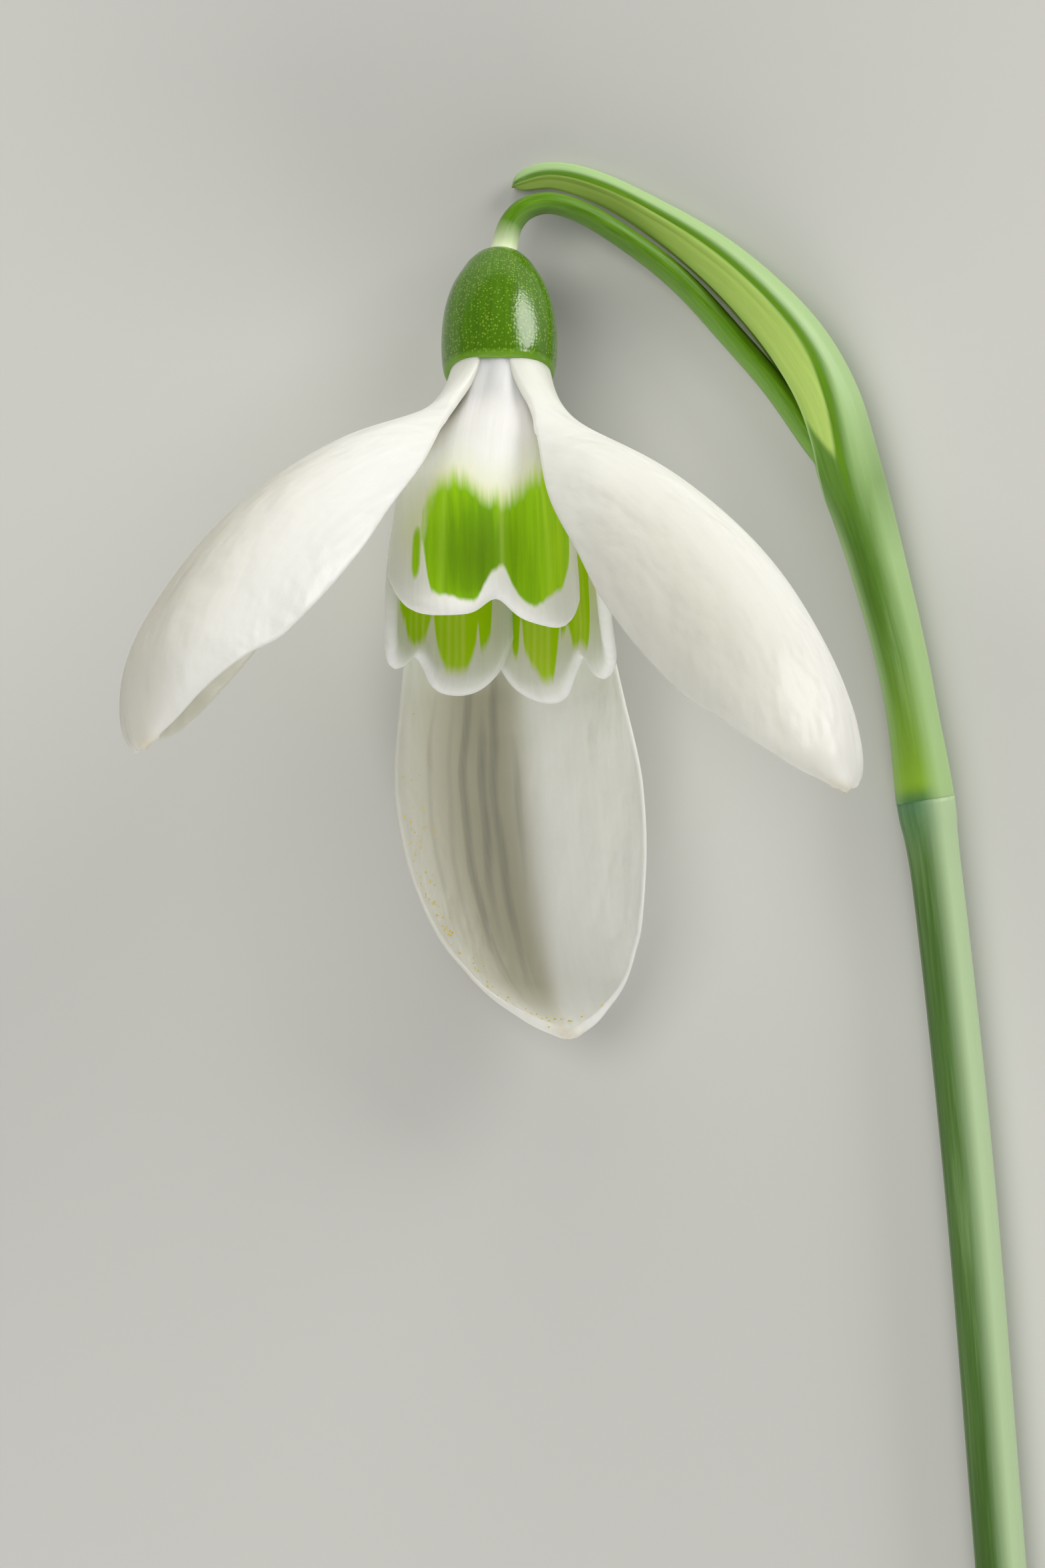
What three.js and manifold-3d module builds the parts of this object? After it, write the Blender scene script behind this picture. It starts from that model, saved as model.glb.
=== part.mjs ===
// A giant snowdrop, picked and laid on a flat surface: one flower on its cut stem.
// Millimetres, +Z up. The origin is on the surface, under the middle of the whole flower.
// +X runs across the flower, +Y runs from the cut end of the stem to the arch over the bloom.
import * as THREE from "three";
import { mergeVertices } from "three/addons/utils/BufferGeometryUtils.js";
import Module from "manifold-3d";

const wasm = await Module();
wasm.setup();
const { degToRad } = THREE.MathUtils;

// Stem: a solid flower stem, nearly straight, from the cut end to the ring below the spathe
const STEM_PATH = [
  [19.42, -41.106],
  [17.9, -21.9],
  [16.4, -3.6],
  [15.0, 9.3],
  [14.5, 12.7],
];
const STEM_CUT_RADIUS = 1.22;
const STEM_RADIUS = 1.17;
const RING_RADIUS = 1.27;
const STEM_ROWS = 24;
const STEM_SIDES = 16;

// Spathe: a sheath, closed above the ring, split on the flower's side from SLIT_START on
const SPATHE_PATH = [
  [14.46, 13.0, 1.27],
  [14.1, 15.4, 1.2],
  [13.4, 19.1, 1.2],
  [12.1, 24.0, 1.3],
  [11.0, 27.6, 1.45],
  [10.0, 30.7, 1.48],
  [8.7, 33.0, 1.46],
  [7.0, 35.05, 1.35],
  [4.9, 37.0, 1.18],
  [2.4, 38.75, 0.92],
  [-0.1, 40.1, 0.7],
  [-2.35, 40.74, 0.52],
  [-4.0, 40.6, 0.4],
];
const SPATHE_HALF_WIDTH = [
  [0, 1.2],
  [0.12, 1.12],
  [0.3, 1.25],
  [0.42, 1.42],
  [0.55, 1.45],
  [0.7, 1.2],
  [0.85, 0.75],
  [0.95, 0.5],
  [1, 0.4],
];
const SPATHE_WALL = [
  [0, 0.42],
  [0.4, 0.42],
  [0.55, 0.5],
  [0.85, 0.4],
  [1, 0.3],
];
const SPATHE_FLOOR = 0.035;
const SPATHE_ROWS = 32;
const SPATHE_SIDES = 14;
// The slit's lips, as [share of the sheath's length, place of the lips in half widths from its middle]
const SLIT_START = 0.37;
const SLIT_LIPS = [
  [0.37, -1.15],
  [0.42, -0.82],
  [0.5, -0.8],
  [0.8, -0.75],
  [1, -0.6],
];
const PEDICEL_CLEARANCE = 0.22;

// Pedicel: the thin flower stalk, from inside the closed sheath over the arch to the ovary
const PEDICEL_PATH = [
  [14.2, 14.7, 1.24],
  [13.42, 19.1, 1.2],
  [12.1, 23.8, 1.25],
  [10.75, 27.0, 1.35],
  [9.35, 28.95, 1.4],
  [7.7, 31.3, 1.4],
  [5.77, 33.55, 1.4],
  [3.48, 36.0, 1.5],
  [1.29, 37.7, 1.75],
  [-1.07, 39.08, 2.25],
  [-2.5, 39.42, 2.65],
  [-3.55, 39.1, 3.0],
  [-4.15, 38.4, 3.25],
  [-4.45, 37.3, 3.5],
];
const PEDICEL_RADIUS = 0.47;
const PEDICEL_TOP_RADIUS = 0.62;
const PEDICEL_ROWS = 44;
const PEDICEL_SIDES = 8;

// Bloom: its neck, where the petals meet the ovary, and how far its mouth tips up
const NECK = new THREE.Vector3(-4.66, 31.6, 5.95);
const MOUTH_TIP_UP = degToRad(25.5);

// Ovary: an egg with a broad lower end, as [radius, distance above the neck]
const OVARY_PROFILE = [
  [0.6, 5.95],
  [1.3, 5.7],
  [1.95, 5.0],
  [2.4, 3.9],
  [2.63, 2.6],
  [2.58, 1.2],
  [2.42, 0.35],
  [2.1, 0],
];

// Outer petals: stations along the midrib, as [share of the length, value]
const OUTER_LENGTH = 31;
const OUTER_BASE = { out: 2.2, up: 0.35 };
// How far the midrib leans away from the bloom's axis, in degrees
const OUTER_SPREAD = [
  [0, 12],
  [0.08, 34],
  [0.16, 53],
  [0.24, 52],
  [0.36, 45],
  [0.5, 38],
  [0.65, 28],
  [0.8, 19],
  [0.9, 2],
  [1, -22],
];
const OUTER_HALF_WIDTH = [
  [0, 0.9],
  [0.08, 0.88],
  [0.16, 2.0],
  [0.3, 5.4],
  [0.45, 6.9],
  [0.6, 7.7],
  [0.75, 7.1],
  [0.88, 5.6],
  [0.96, 2.6],
  [1, 0.6],
];
// Half the angle that the arched section spans, in degrees
const OUTER_CUP = [
  [0, 25],
  [0.1, 40],
  [0.25, 60],
  [0.5, 73],
  [0.8, 75],
  [1, 40],
];
// Each outer petal: its place round the neck, its lean, and its sideways sway and roll, in degrees
const OUTER_PETALS = [
  { name: "outer_tepal_left", azimuth: -58, lean: 4.5, sway: 6, roll: -1, size: 0.99 },
  { name: "outer_tepal_right", azimuth: 52, lean: 0.4, sway: 2.5, roll: -0.7, size: 0.975 },
  { name: "outer_tepal_back", azimuth: 176.5, lean: -2.6, sway: -2.8, roll: -7, size: 0.965 },
];

// Inner petals: a short bell of three, each with a notch between two lobes
const INNER_BASE_UP = 0.35;
const INNER_OUT = [
  [0, 1.5],
  [0.12, 1.75],
  [0.3, 2.8],
  [0.5, 4.0],
  [0.75, 4.5],
  [0.92, 4.55],
  [1, 4.8],
];
const INNER_HALF_WIDTH = [
  [0, 0.85],
  [0.1, 1.1],
  [0.3, 2.5],
  [0.5, 3.8],
  [0.75, 4.6],
  [1, 4.8],
];
// Each inner petal: its place and length, how far its edges stand out or in, and how it sits in the bell
const INNER_PETALS = [
  { name: "inner_tepal_front", azimuth: 0, length: 14.0, edges: [0.45, 0.45], aside: -0.95, turn: 12 },
  { name: "inner_tepal_back_left", azimuth: -126.5, length: 13.7, edges: [-0.45, -0.45], aside: 0, turn: 0 },
  { name: "inner_tepal_back_right", azimuth: 126, length: 13.7, edges: [-0.45, 0.45], aside: 0, turn: 0 },
];
const NOTCH_DEPTH = 0.08;
const LOBE_ROUNDING = 0.2;

// Blades are this thick, and the rows and columns of faces that they are split into
const OUTER_THICKNESS = 0.6;
const INNER_THICKNESS = 0.6;
const OUTER_ROWS = 24;
const INNER_ROWS = 14;
const BLADE_COLUMNS = 12;

// Stamens and style, hidden in the bell
const STAMEN_COUNT = 6;
const DISC_RADIUS = 1.1;
const DISC_HEIGHT = 0.7;
const ANTHER_PATH = [
  [0.75, 0.4],
  [1.0, 1.7],
  [1.15, 3.2],
  [0.95, 5.4],
  [0.55, 7.6],
];
const ANTHER_HALF_WIDTH = [
  [0, 0.17],
  [0.16, 0.17],
  [0.26, 0.4],
  [0.6, 0.42],
  [0.85, 0.26],
  [1, 0.08],
];
const ANTHER_ROWS = 11;
const ANTHER_SIDES = 6;
const STYLE_PROFILE = [
  [0, 1.0],
  [0.2, 1.0],
  [0.2, 9.0],
  [0.3, 9.8],
  [0.2, 10.2],
  [0, 10.2],
];

// The value at t of a smooth line through stations of [t, value], which never overshoots them.
function along(stations, t) {
  const last = stations.length - 1;
  if (t <= stations[0][0]) return stations[0][1];
  if (t >= stations[last][0]) return stations[last][1];
  const slope = (i) => (stations[i + 1][1] - stations[i][1]) / (stations[i + 1][0] - stations[i][0]);
  const tangent = (i) => {
    if (i === 0) return slope(0);
    if (i === last) return slope(last - 1);
    const before = slope(i - 1);
    const after = slope(i);
    return before * after <= 0 ? 0 : (2 * before * after) / (before + after);
  };
  let i = 0;
  while (t > stations[i + 1][0]) i += 1;
  const span = stations[i + 1][0] - stations[i][0];
  const x = (t - stations[i][0]) / span;
  const start = stations[i][1] * (2 * x ** 3 - 3 * x ** 2 + 1) + tangent(i) * span * (x ** 3 - 2 * x ** 2 + x);
  return start + stations[i + 1][1] * (3 * x ** 2 - 2 * x ** 3) + tangent(i + 1) * span * (x ** 3 - x ** 2);
}

// A geometry from points and triangles, turned so that its faces point out.
function solidGeometry(points, triangles) {
  let volume = 0;
  for (const [a, b, c] of triangles) {
    volume += points[a].dot(new THREE.Vector3().crossVectors(points[b], points[c]));
  }
  const faces = volume < 0 ? triangles.map(([a, b, c]) => [a, c, b]) : triangles;
  const geometry = new THREE.BufferGeometry();
  geometry.setAttribute("position", new THREE.Float32BufferAttribute(points.flatMap((p) => p.toArray()), 3));
  geometry.setIndex(faces.flat());
  geometry.computeVertexNormals();
  return geometry;
}

// A round section with the radius of each place along a path.
function round(radius, sides) {
  return (t) => Array.from({ length: sides }, (_, k) => {
    const turn = (2 * Math.PI * k) / sides;
    return [radius(t) * Math.cos(turn), radius(t) * Math.sin(turn)];
  });
}

// A solid along a curve between two shares of it. section(t) gives points as [to the outer side, up].
function sweep(curve, [from, to], section, rows, overrun = 0) {
  const up = new THREE.Vector3(0, 0, 1);
  const points = [];
  const triangles = [];
  const sides = section(from).length;
  for (let i = 0; i <= rows; i += 1) {
    const t = from + ((to - from) * i) / rows;
    const tangent = curve.getTangentAt(t);
    const side = new THREE.Vector3().crossVectors(tangent, up).normalize();
    const top = new THREE.Vector3().crossVectors(side, tangent).normalize();
    const middle = curve.getPointAt(t).addScaledVector(tangent, i === rows ? overrun : 0);
    for (const [a, b] of section(t)) {
      points.push(middle.clone().addScaledVector(side, a).addScaledVector(top, b));
    }
  }
  for (let i = 0; i < rows; i += 1) {
    for (let k = 0; k < sides; k += 1) {
      const next = (k + 1) % sides;
      const row = i * sides;
      triangles.push([row + k, row + sides + k, row + sides + next], [row + k, row + sides + next, row + next]);
    }
  }
  for (const [row, flip] of [[0, false], [rows, true]]) {
    const centre = new THREE.Vector3();
    for (let k = 0; k < sides; k += 1) centre.addScaledVector(points[row * sides + k], 1 / sides);
    const hub = points.push(centre) - 1;
    for (let k = 0; k < sides; k += 1) {
      const rim = [row * sides + k, row * sides + ((k + 1) % sides)];
      triangles.push(flip ? [hub, rim[1], rim[0]] : [hub, ...rim]);
    }
  }
  return solidGeometry(points, triangles);
}

// A thin blade round a curved middle surface, split into triangles alike on both of its faces.
function blade(surface, thickness, rows, columns) {
  const step = 1e-3;
  const outer = [];
  const inner = [];
  for (let i = 0; i <= rows; i += 1) {
    for (let k = 0; k <= columns; k += 1) {
      const u = i / rows;
      const s = (2 * k) / columns - 1;
      const du = surface(Math.min(u + step, 1), s).sub(surface(Math.max(u - step, 0), s));
      const ds = surface(u, Math.min(s + step, 1)).sub(surface(u, Math.max(s - step, -1)));
      const normal = du.cross(ds).normalize();
      const middle = surface(u, s);
      outer.push(middle.clone().addScaledVector(normal, thickness / 2));
      inner.push(middle.clone().addScaledVector(normal, -thickness / 2));
    }
  }
  const points = [...outer, ...inner];
  const triangles = [];
  const across = columns + 1;
  const back = outer.length;
  const quad = (a, b, c, d) => triangles.push([a, b, c], [a, c, d]);
  for (let i = 0; i < rows; i += 1) {
    for (let k = 0; k < columns; k += 1) {
      const a = i * across + k;
      quad(a, a + 1, a + across + 1, a + across);
      triangles.push([back + a, back + a + across + 1, back + a + 1]);
      triangles.push([back + a, back + a + across, back + a + across + 1]);
    }
    const left = i * across;
    const right = left + columns;
    quad(left, left + across, back + left + across, back + left);
    quad(right + across, right, back + right, back + right + across);
  }
  for (let k = 0; k < columns; k += 1) {
    const end = rows * across + k;
    quad(k + 1, k, back + k, back + k + 1);
    quad(end, end + 1, back + end + 1, back + end);
  }
  return solidGeometry(points, triangles);
}

function toManifold(geometry) {
  const bare = geometry.clone();
  bare.deleteAttribute("normal");
  bare.deleteAttribute("uv");
  const merged = mergeVertices(bare, 1e-4);
  const vertProperties = merged.attributes.position.array;
  return new wasm.Manifold(new wasm.Mesh({ numProp: 3, vertProperties, triVerts: merged.index.array }));
}

function fromManifold(solid) {
  const mesh = solid.getMesh();
  const geometry = new THREE.BufferGeometry();
  geometry.setAttribute("position", new THREE.BufferAttribute(mesh.vertProperties, 3));
  geometry.setIndex(new THREE.BufferAttribute(mesh.triVerts, 1));
  geometry.computeVertexNormals();
  return geometry;
}

function vectors(points) {
  return points.map(([x, y, z]) => new THREE.Vector3(x, y, z));
}

// The stem is widest at its cut end and at the ring, and lies on the surface with both.
function stemGeometry() {
  const radius = [
    [0, STEM_CUT_RADIUS],
    [0.2, STEM_RADIUS],
    [0.9, STEM_RADIUS],
    [1, RING_RADIUS],
  ];
  const path = STEM_PATH.map(([x, y], i) => {
    const share = i / (STEM_PATH.length - 1);
    return new THREE.Vector3(x, y, STEM_CUT_RADIUS + (RING_RADIUS - STEM_CUT_RADIUS) * share);
  });
  const curve = new THREE.CatmullRomCurve3(path, false, "centripetal");
  return sweep(curve, [0, 1], round((t) => along(radius, t), STEM_SIDES), STEM_ROWS);
}

// The sheath: a hollow horn, opened by the slit that the pedicel comes out of.
function spatheGeometry() {
  const curve = new THREE.CatmullRomCurve3(vectors(SPATHE_PATH), false, "centripetal");
  const half = (t) => along(SPATHE_HALF_WIDTH, t);
  const hollow = (t) => half(t) - along(SPATHE_WALL, t);
  const horn = sweep(curve, [0, 1], round(half, SPATHE_SIDES), SPATHE_ROWS);
  const bore = sweep(curve, [SPATHE_FLOOR, 0.985], round(hollow, SPATHE_SIDES), SPATHE_ROWS);
  const reach = 4;
  const slab = (t) => {
    const lips = along(SLIT_LIPS, t) * half(t);
    return [[lips, -reach], [lips, reach], [-reach, reach], [-reach, -reach]];
  };
  const slit = sweep(curve, [SLIT_START, 1], slab, SPATHE_ROWS, 1);
  const way = pedicelGeometry(PEDICEL_CLEARANCE);
  return fromManifold([bore, slit, way].reduce((left, cut) => left.subtract(toManifold(cut)), toManifold(horn)));
}

// The stalk; with a margin it is the way that is left free for it through the sheath.
function pedicelGeometry(margin = 0) {
  const radius = [
    [0, PEDICEL_RADIUS],
    [0.86, PEDICEL_RADIUS],
    [1, PEDICEL_TOP_RADIUS],
  ];
  const curve = new THREE.CatmullRomCurve3(vectors(PEDICEL_PATH), false, "centripetal");
  return sweep(curve, [0, 1], round((t) => along(radius, t) + margin, PEDICEL_SIDES), PEDICEL_ROWS);
}

function ovaryGeometry() {
  const outline = OVARY_PROFILE.map(([radius, above]) => new THREE.Vector2(radius, above));
  const profile = [new THREE.Vector2(0, OVARY_PROFILE[0][1]), ...outline, new THREE.Vector2(0, 0)];
  return new THREE.LatheGeometry(profile.reverse(), 28).rotateX(-Math.PI / 2);
}

// The midrib of an outer petal: it leaves the neck along the axis, spreads, and closes again at the tip.
function outerMidrib(lean, length) {
  const steps = 200;
  const points = [OUTER_BASE];
  for (let i = 1; i <= steps; i += 1) {
    const spread = degToRad(along(OUTER_SPREAD, (i - 0.5) / steps) + lean);
    const { out, up } = points[i - 1];
    points.push({ out: out + (Math.sin(spread) * length) / steps, up: up + (Math.cos(spread) * length) / steps });
  }
  return (u) => {
    const i = Math.min(Math.floor(u * steps), steps - 1);
    const share = u * steps - i;
    const out = points[i].out + (points[i + 1].out - points[i].out) * share;
    return { out, up: points[i].up + (points[i + 1].up - points[i].up) * share };
  };
}

// An outer petal: a narrow claw, a blade arched like a spoon and a blunt tip.
function outerPetalGeometry({ lean, sway, roll, size }) {
  const midrib = outerMidrib(lean, OUTER_LENGTH * size);
  const turned = { cos: Math.cos(degToRad(roll)), sin: Math.sin(degToRad(roll)) };
  const surface = (u, s) => {
    const { out, up } = midrib(u);
    const spread = degToRad(along(OUTER_SPREAD, u) + lean);
    const cup = degToRad(along(OUTER_CUP, u));
    const radius = (along(OUTER_HALF_WIDTH, u) * size) / cup;
    const across = radius * Math.sin(s * cup);
    const high = radius * (1 - Math.cos(s * cup));
    const aside = across * turned.cos - high * turned.sin;
    const rise = across * turned.sin + high * turned.cos;
    return new THREE.Vector3(aside, out - rise * Math.cos(spread), up + rise * Math.sin(spread));
  };
  const geometry = blade(surface, OUTER_THICKNESS, OUTER_ROWS, BLADE_COLUMNS);
  return geometry.translate(0, 0, -OUTER_BASE.up).rotateY(degToRad(sway)).translate(0, 0, OUTER_BASE.up);
}

// An inner petal. Its two edges lie further in or out than the bell, to pass over or under the next petal.
function innerPetalGeometry({ length, edges, aside, turn }) {
  const surface = (u, s) => {
    const notch = NOTCH_DEPTH * Math.exp(-((s / 0.2) ** 2));
    const end = 1 - notch - LOBE_ROUNDING * Math.abs(s) ** 5;
    const v = u * end;
    const settled = along([[0, 0], [0.15, 0], [0.6, 1]], v);
    const radius = along(INNER_OUT, v);
    const width = along(INNER_HALF_WIDTH, v) / radius;
    const angle = s * width + degToRad(turn) * settled;
    const shift = (edges[0] * (1 - s)) / 2 + (edges[1] * (1 + s)) / 2;
    const out = radius + shift * settled;
    const x = out * Math.sin(angle) + aside * settled;
    return new THREE.Vector3(x, out * Math.cos(angle), INNER_BASE_UP + v * length);
  };
  return blade(surface, INNER_THICKNESS, INNER_ROWS, BLADE_COLUMNS);
}

function stamensGeometry() {
  const disc = new THREE.CylinderGeometry(DISC_RADIUS * 0.7, DISC_RADIUS, DISC_HEIGHT - 0.3, 18);
  disc.rotateX(Math.PI / 2).translate(0, 0, (DISC_HEIGHT + 0.3) / 2);
  const curve = new THREE.CatmullRomCurve3(ANTHER_PATH.map(([out, up]) => new THREE.Vector3(0.01, out, up)));
  const anther = sweep(curve, [0, 1], round((t) => along(ANTHER_HALF_WIDTH, t), ANTHER_SIDES), ANTHER_ROWS);
  let fused = toManifold(disc);
  for (let i = 0; i < STAMEN_COUNT; i += 1) {
    fused = fused.add(toManifold(anther.clone().rotateZ(((i + 0.5) * 2 * Math.PI) / STAMEN_COUNT)));
  }
  return fromManifold(fused);
}

function styleGeometry() {
  const profile = STYLE_PROFILE.map(([radius, up]) => new THREE.Vector2(radius, up));
  return new THREE.LatheGeometry(profile, 10).rotateX(Math.PI / 2);
}

function named(name, geometry, color, roughness) {
  const mesh = new THREE.Mesh(geometry, new THREE.MeshStandardMaterial({ color, roughness, metalness: 0 }));
  mesh.name = name;
  return mesh;
}

// The lowest petal is pressed flat where it rests, so no point of it is below the surface.
function restOnSurface(mesh) {
  mesh.updateWorldMatrix(true, false);
  mesh.geometry.applyMatrix4(mesh.matrixWorld);
  const points = mesh.geometry.getAttribute("position");
  for (let i = 0; i < points.count; i += 1) {
    if (points.getZ(i) < 0) points.setZ(i, 0);
  }
  mesh.geometry.computeVertexNormals();
  mesh.removeFromParent();
  mesh.rotation.set(0, 0, 0);
  snowdrop.add(mesh);
}

const snowdrop = new THREE.Group();
snowdrop.add(named("stem", stemGeometry(), "#8db07a", 0.55));
snowdrop.add(named("spathe", spatheGeometry(), "#9fbf78", 0.5));
snowdrop.add(named("pedicel", pedicelGeometry(), "#4e8a2a", 0.45));

const bloom = new THREE.Group();
bloom.position.copy(NECK);
bloom.rotation.x = Math.PI / 2 - MOUTH_TIP_UP;
bloom.add(named("ovary", ovaryGeometry(), "#4b8a12", 0.4));
for (const petal of OUTER_PETALS) {
  const mesh = named(petal.name, outerPetalGeometry(petal), "#eeeeea", 0.5);
  mesh.rotation.z = -degToRad(petal.azimuth);
  bloom.add(mesh);
}
for (const petal of INNER_PETALS) {
  const mesh = named(petal.name, innerPetalGeometry(petal), "#f1f2ec", 0.5);
  mesh.rotation.z = -degToRad(petal.azimuth);
  bloom.add(mesh);
}
bloom.add(named("stamens", stamensGeometry(), "#e0a030", 0.7));
bloom.add(named("style", styleGeometry(), "#dfe8c8", 0.5));
snowdrop.add(bloom);
restOnSurface(bloom.getObjectByName("outer_tepal_back"));

export default snowdrop;
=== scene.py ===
import math

import bpy
import numpy as np
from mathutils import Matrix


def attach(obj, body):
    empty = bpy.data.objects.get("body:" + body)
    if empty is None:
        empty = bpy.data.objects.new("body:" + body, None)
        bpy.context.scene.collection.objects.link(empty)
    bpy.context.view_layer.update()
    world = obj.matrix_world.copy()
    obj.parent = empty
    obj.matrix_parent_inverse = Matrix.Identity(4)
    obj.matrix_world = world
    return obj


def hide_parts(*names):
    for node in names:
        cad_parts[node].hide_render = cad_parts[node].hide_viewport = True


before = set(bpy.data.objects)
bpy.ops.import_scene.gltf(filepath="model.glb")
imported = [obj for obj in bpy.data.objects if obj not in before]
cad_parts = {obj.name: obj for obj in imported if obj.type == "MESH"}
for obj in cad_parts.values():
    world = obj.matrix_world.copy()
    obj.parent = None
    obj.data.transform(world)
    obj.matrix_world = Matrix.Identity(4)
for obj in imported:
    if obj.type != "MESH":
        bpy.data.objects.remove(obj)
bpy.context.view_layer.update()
mm = 0.001
collection = bpy.context.scene.collection

# Camera
# A long lens looks straight down on the flower, which lies on its side.
camera_data = bpy.data.cameras.new("camera")
camera_data.lens = 153.06
camera_data.sensor_width = 36
camera_data.clip_start = 0.01
camera = bpy.data.objects.new("camera", camera_data)
camera.location = (-3.63 * mm, 13.41 * mm, 301.2 * mm)
collection.objects.link(camera)
bpy.context.scene.camera = camera
bpy.context.scene.view_settings.view_transform = "Standard"


# Floor and light
# A plain pale tabletop, four large soft lamps and a soft sky over all of it.
def linear(hex_colour):
    """An sRGB hex colour as linear red, green, blue and alpha."""
    parts = [int(hex_colour[i:i + 2], 16) / 255 for i in (1, 3, 5)]
    return (*(c / 12.92 if c <= 0.04045 else ((c + 0.055) / 1.055) ** 2.4 for c in parts), 1)


def add(tree, kind, inputs=None, stops=None, **settings):
    """Adds a node. settings are its properties, inputs its sockets' values or links, stops a ramp's steps."""
    node = tree.nodes.new(kind)
    for name, value in settings.items():
        setattr(node, name, value)
    for socket, value in (inputs or {}).items():
        if isinstance(value, bpy.types.NodeSocket):
            tree.links.new(value, node.inputs[socket])
        else:
            node.inputs[socket].default_value = value
    for i, (place, colour) in enumerate(stops or []):
        elements = node.color_ramp.elements
        element = elements[i] if i < 2 else elements.new(place)
        element.position = place
        element.color = linear(colour) if isinstance(colour, str) else (colour, colour, colour, 1)
    return node


def new_material(name):
    """An empty material and its node tree."""
    material = bpy.data.materials.new(name)
    material.use_nodes = True
    material.node_tree.nodes.clear()
    return material, material.node_tree


tabletop, tree = new_material("matt_pale_tabletop")
shader = add(tree, "ShaderNodeBsdfPrincipled", {"Base Color": linear("#CFCFCB"), "Roughness": 0.9})
add(tree, "ShaderNodeOutputMaterial", {"Surface": shader.outputs[0]})
floor_half = 1.5
corners = [(x * floor_half, y * floor_half, 0) for x, y in [(-1, -1), (1, -1), (1, 1), (-1, 1)]]
floor_mesh = bpy.data.meshes.new("floor")
floor_mesh.from_pydata(corners, [], [(0, 1, 2, 3)])
floor_mesh.materials.append(tabletop)
floor = bpy.data.objects.new("floor", floor_mesh)
collection.objects.link(floor)

world = bpy.data.worlds.new("soft_sky")
world.use_nodes = True
world.node_tree.nodes["Background"].inputs["Color"].default_value = linear("#F4F6FA")
world.node_tree.nodes["Background"].inputs["Strength"].default_value = 0.16
bpy.context.scene.world = world
# Each lamp's place and size in metres, its power in watts, and whether glossy skin mirrors it
for name, place, size, power, mirrored in [
    ("lamp_right", (0.40, 0.38, 0.15), 0.27, 1.9, True),
    ("lamp_left", (-0.24, 0.12, 0.51), 0.34, 1.1, False),
    ("lamp_top", (-0.04, 0.49, 0.2), 0.26, 0.85, False),
    ("lamp_low", (0.0, -0.42, 0.28), 0.3, 1.45, False),
]:
    lamp_data = bpy.data.lights.new(name, "AREA")
    lamp_data.size = size
    lamp_data.energy = power
    lamp_data.color = (1, 0.98, 0.94)
    lamp = bpy.data.objects.new(name, lamp_data)
    lamp.location = place
    lamp.visible_glossy = mirrored
    lamp.rotation_euler = (-lamp.location).to_track_quat("-Z", "Y").to_euler()
    collection.objects.link(lamp)


# Stem
# The solid, slightly flattened flower stem, cut across at its lower end. Its green skin has fine lengthwise
# lines and a bluish wax bloom, painted paler on one side as a sheen where the light falls. It thickens a
# little to the ring under the sheath.
def along(stations, t):
    """The value at t of a smooth line through stations of (t, value), which never overshoots them."""
    x, y = np.array(stations, float).T
    gap = np.diff(x)
    slope = np.diff(y) / gap
    before, after = slope[:-1], slope[1:]
    steepest = 3 * np.minimum(np.abs(before), np.abs(after))
    blend = (gap[1:] * before + gap[:-1] * after) / (gap[1:] + gap[:-1])
    inner = np.where(before * after <= 0, 0, np.clip(blend, -steepest, steepest))
    tangent = np.concatenate([slope[:1], inner, slope[-1:]])
    t = np.clip(t, x[0], x[-1])
    i = np.clip(np.searchsorted(x, t) - 1, 0, len(x) - 2)
    span = gap[i]
    f = (t - x[i]) / span
    start = y[i] * (2 * f**3 - 3 * f**2 + 1) + tangent[i] * span * (f**3 - 2 * f**2 + f)
    return start + y[i + 1] * (3 * f**2 - 2 * f**3) + tangent[i + 1] * span * (f**3 - f**2)


def route(points, shares):
    """Places, sideways directions, upward directions and the length of a smooth line through points."""
    p = np.array(points, float)
    p = np.vstack([2 * p[0] - p[1], p, 2 * p[-1] - p[-2]])
    fine = []
    for a, b, c, d in zip(p, p[1:], p[2:], p[3:]):
        ab, bc, cd = (np.linalg.norm(v) ** 0.5 for v in (b - a, c - b, d - c))
        start = ((b - a) / ab - (c - a) / (ab + bc) + (c - b) / bc) * bc
        end = ((c - b) / bc - (d - b) / (bc + cd) + (d - c) / cd) * bc
        x = np.linspace(0, 1, 80, endpoint=False)[:, None]
        bend = (3 * (c - b) - 2 * start - end) * x**2 + (2 * (b - c) + start + end) * x**3
        fine.append(b + start * x + bend)
    fine = np.vstack([*fine, p[-2:-1]])
    length = np.concatenate([[0], np.cumsum(np.linalg.norm(np.diff(fine, axis=0), axis=1))])
    at = np.asarray(shares) * length[-1]

    def place_at(at):
        return np.stack([np.interp(at, length, fine[:, k]) for k in range(3)], axis=1)

    nearby = 0.05
    step = place_at(at + nearby) - place_at(at - nearby)
    side = np.cross(step, [0, 0, 1])
    side /= np.linalg.norm(side, axis=1, keepdims=True)
    top = np.cross(side, step)
    top /= np.linalg.norm(top, axis=1, keepdims=True)
    return place_at(at), side, top, length[-1]


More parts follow.
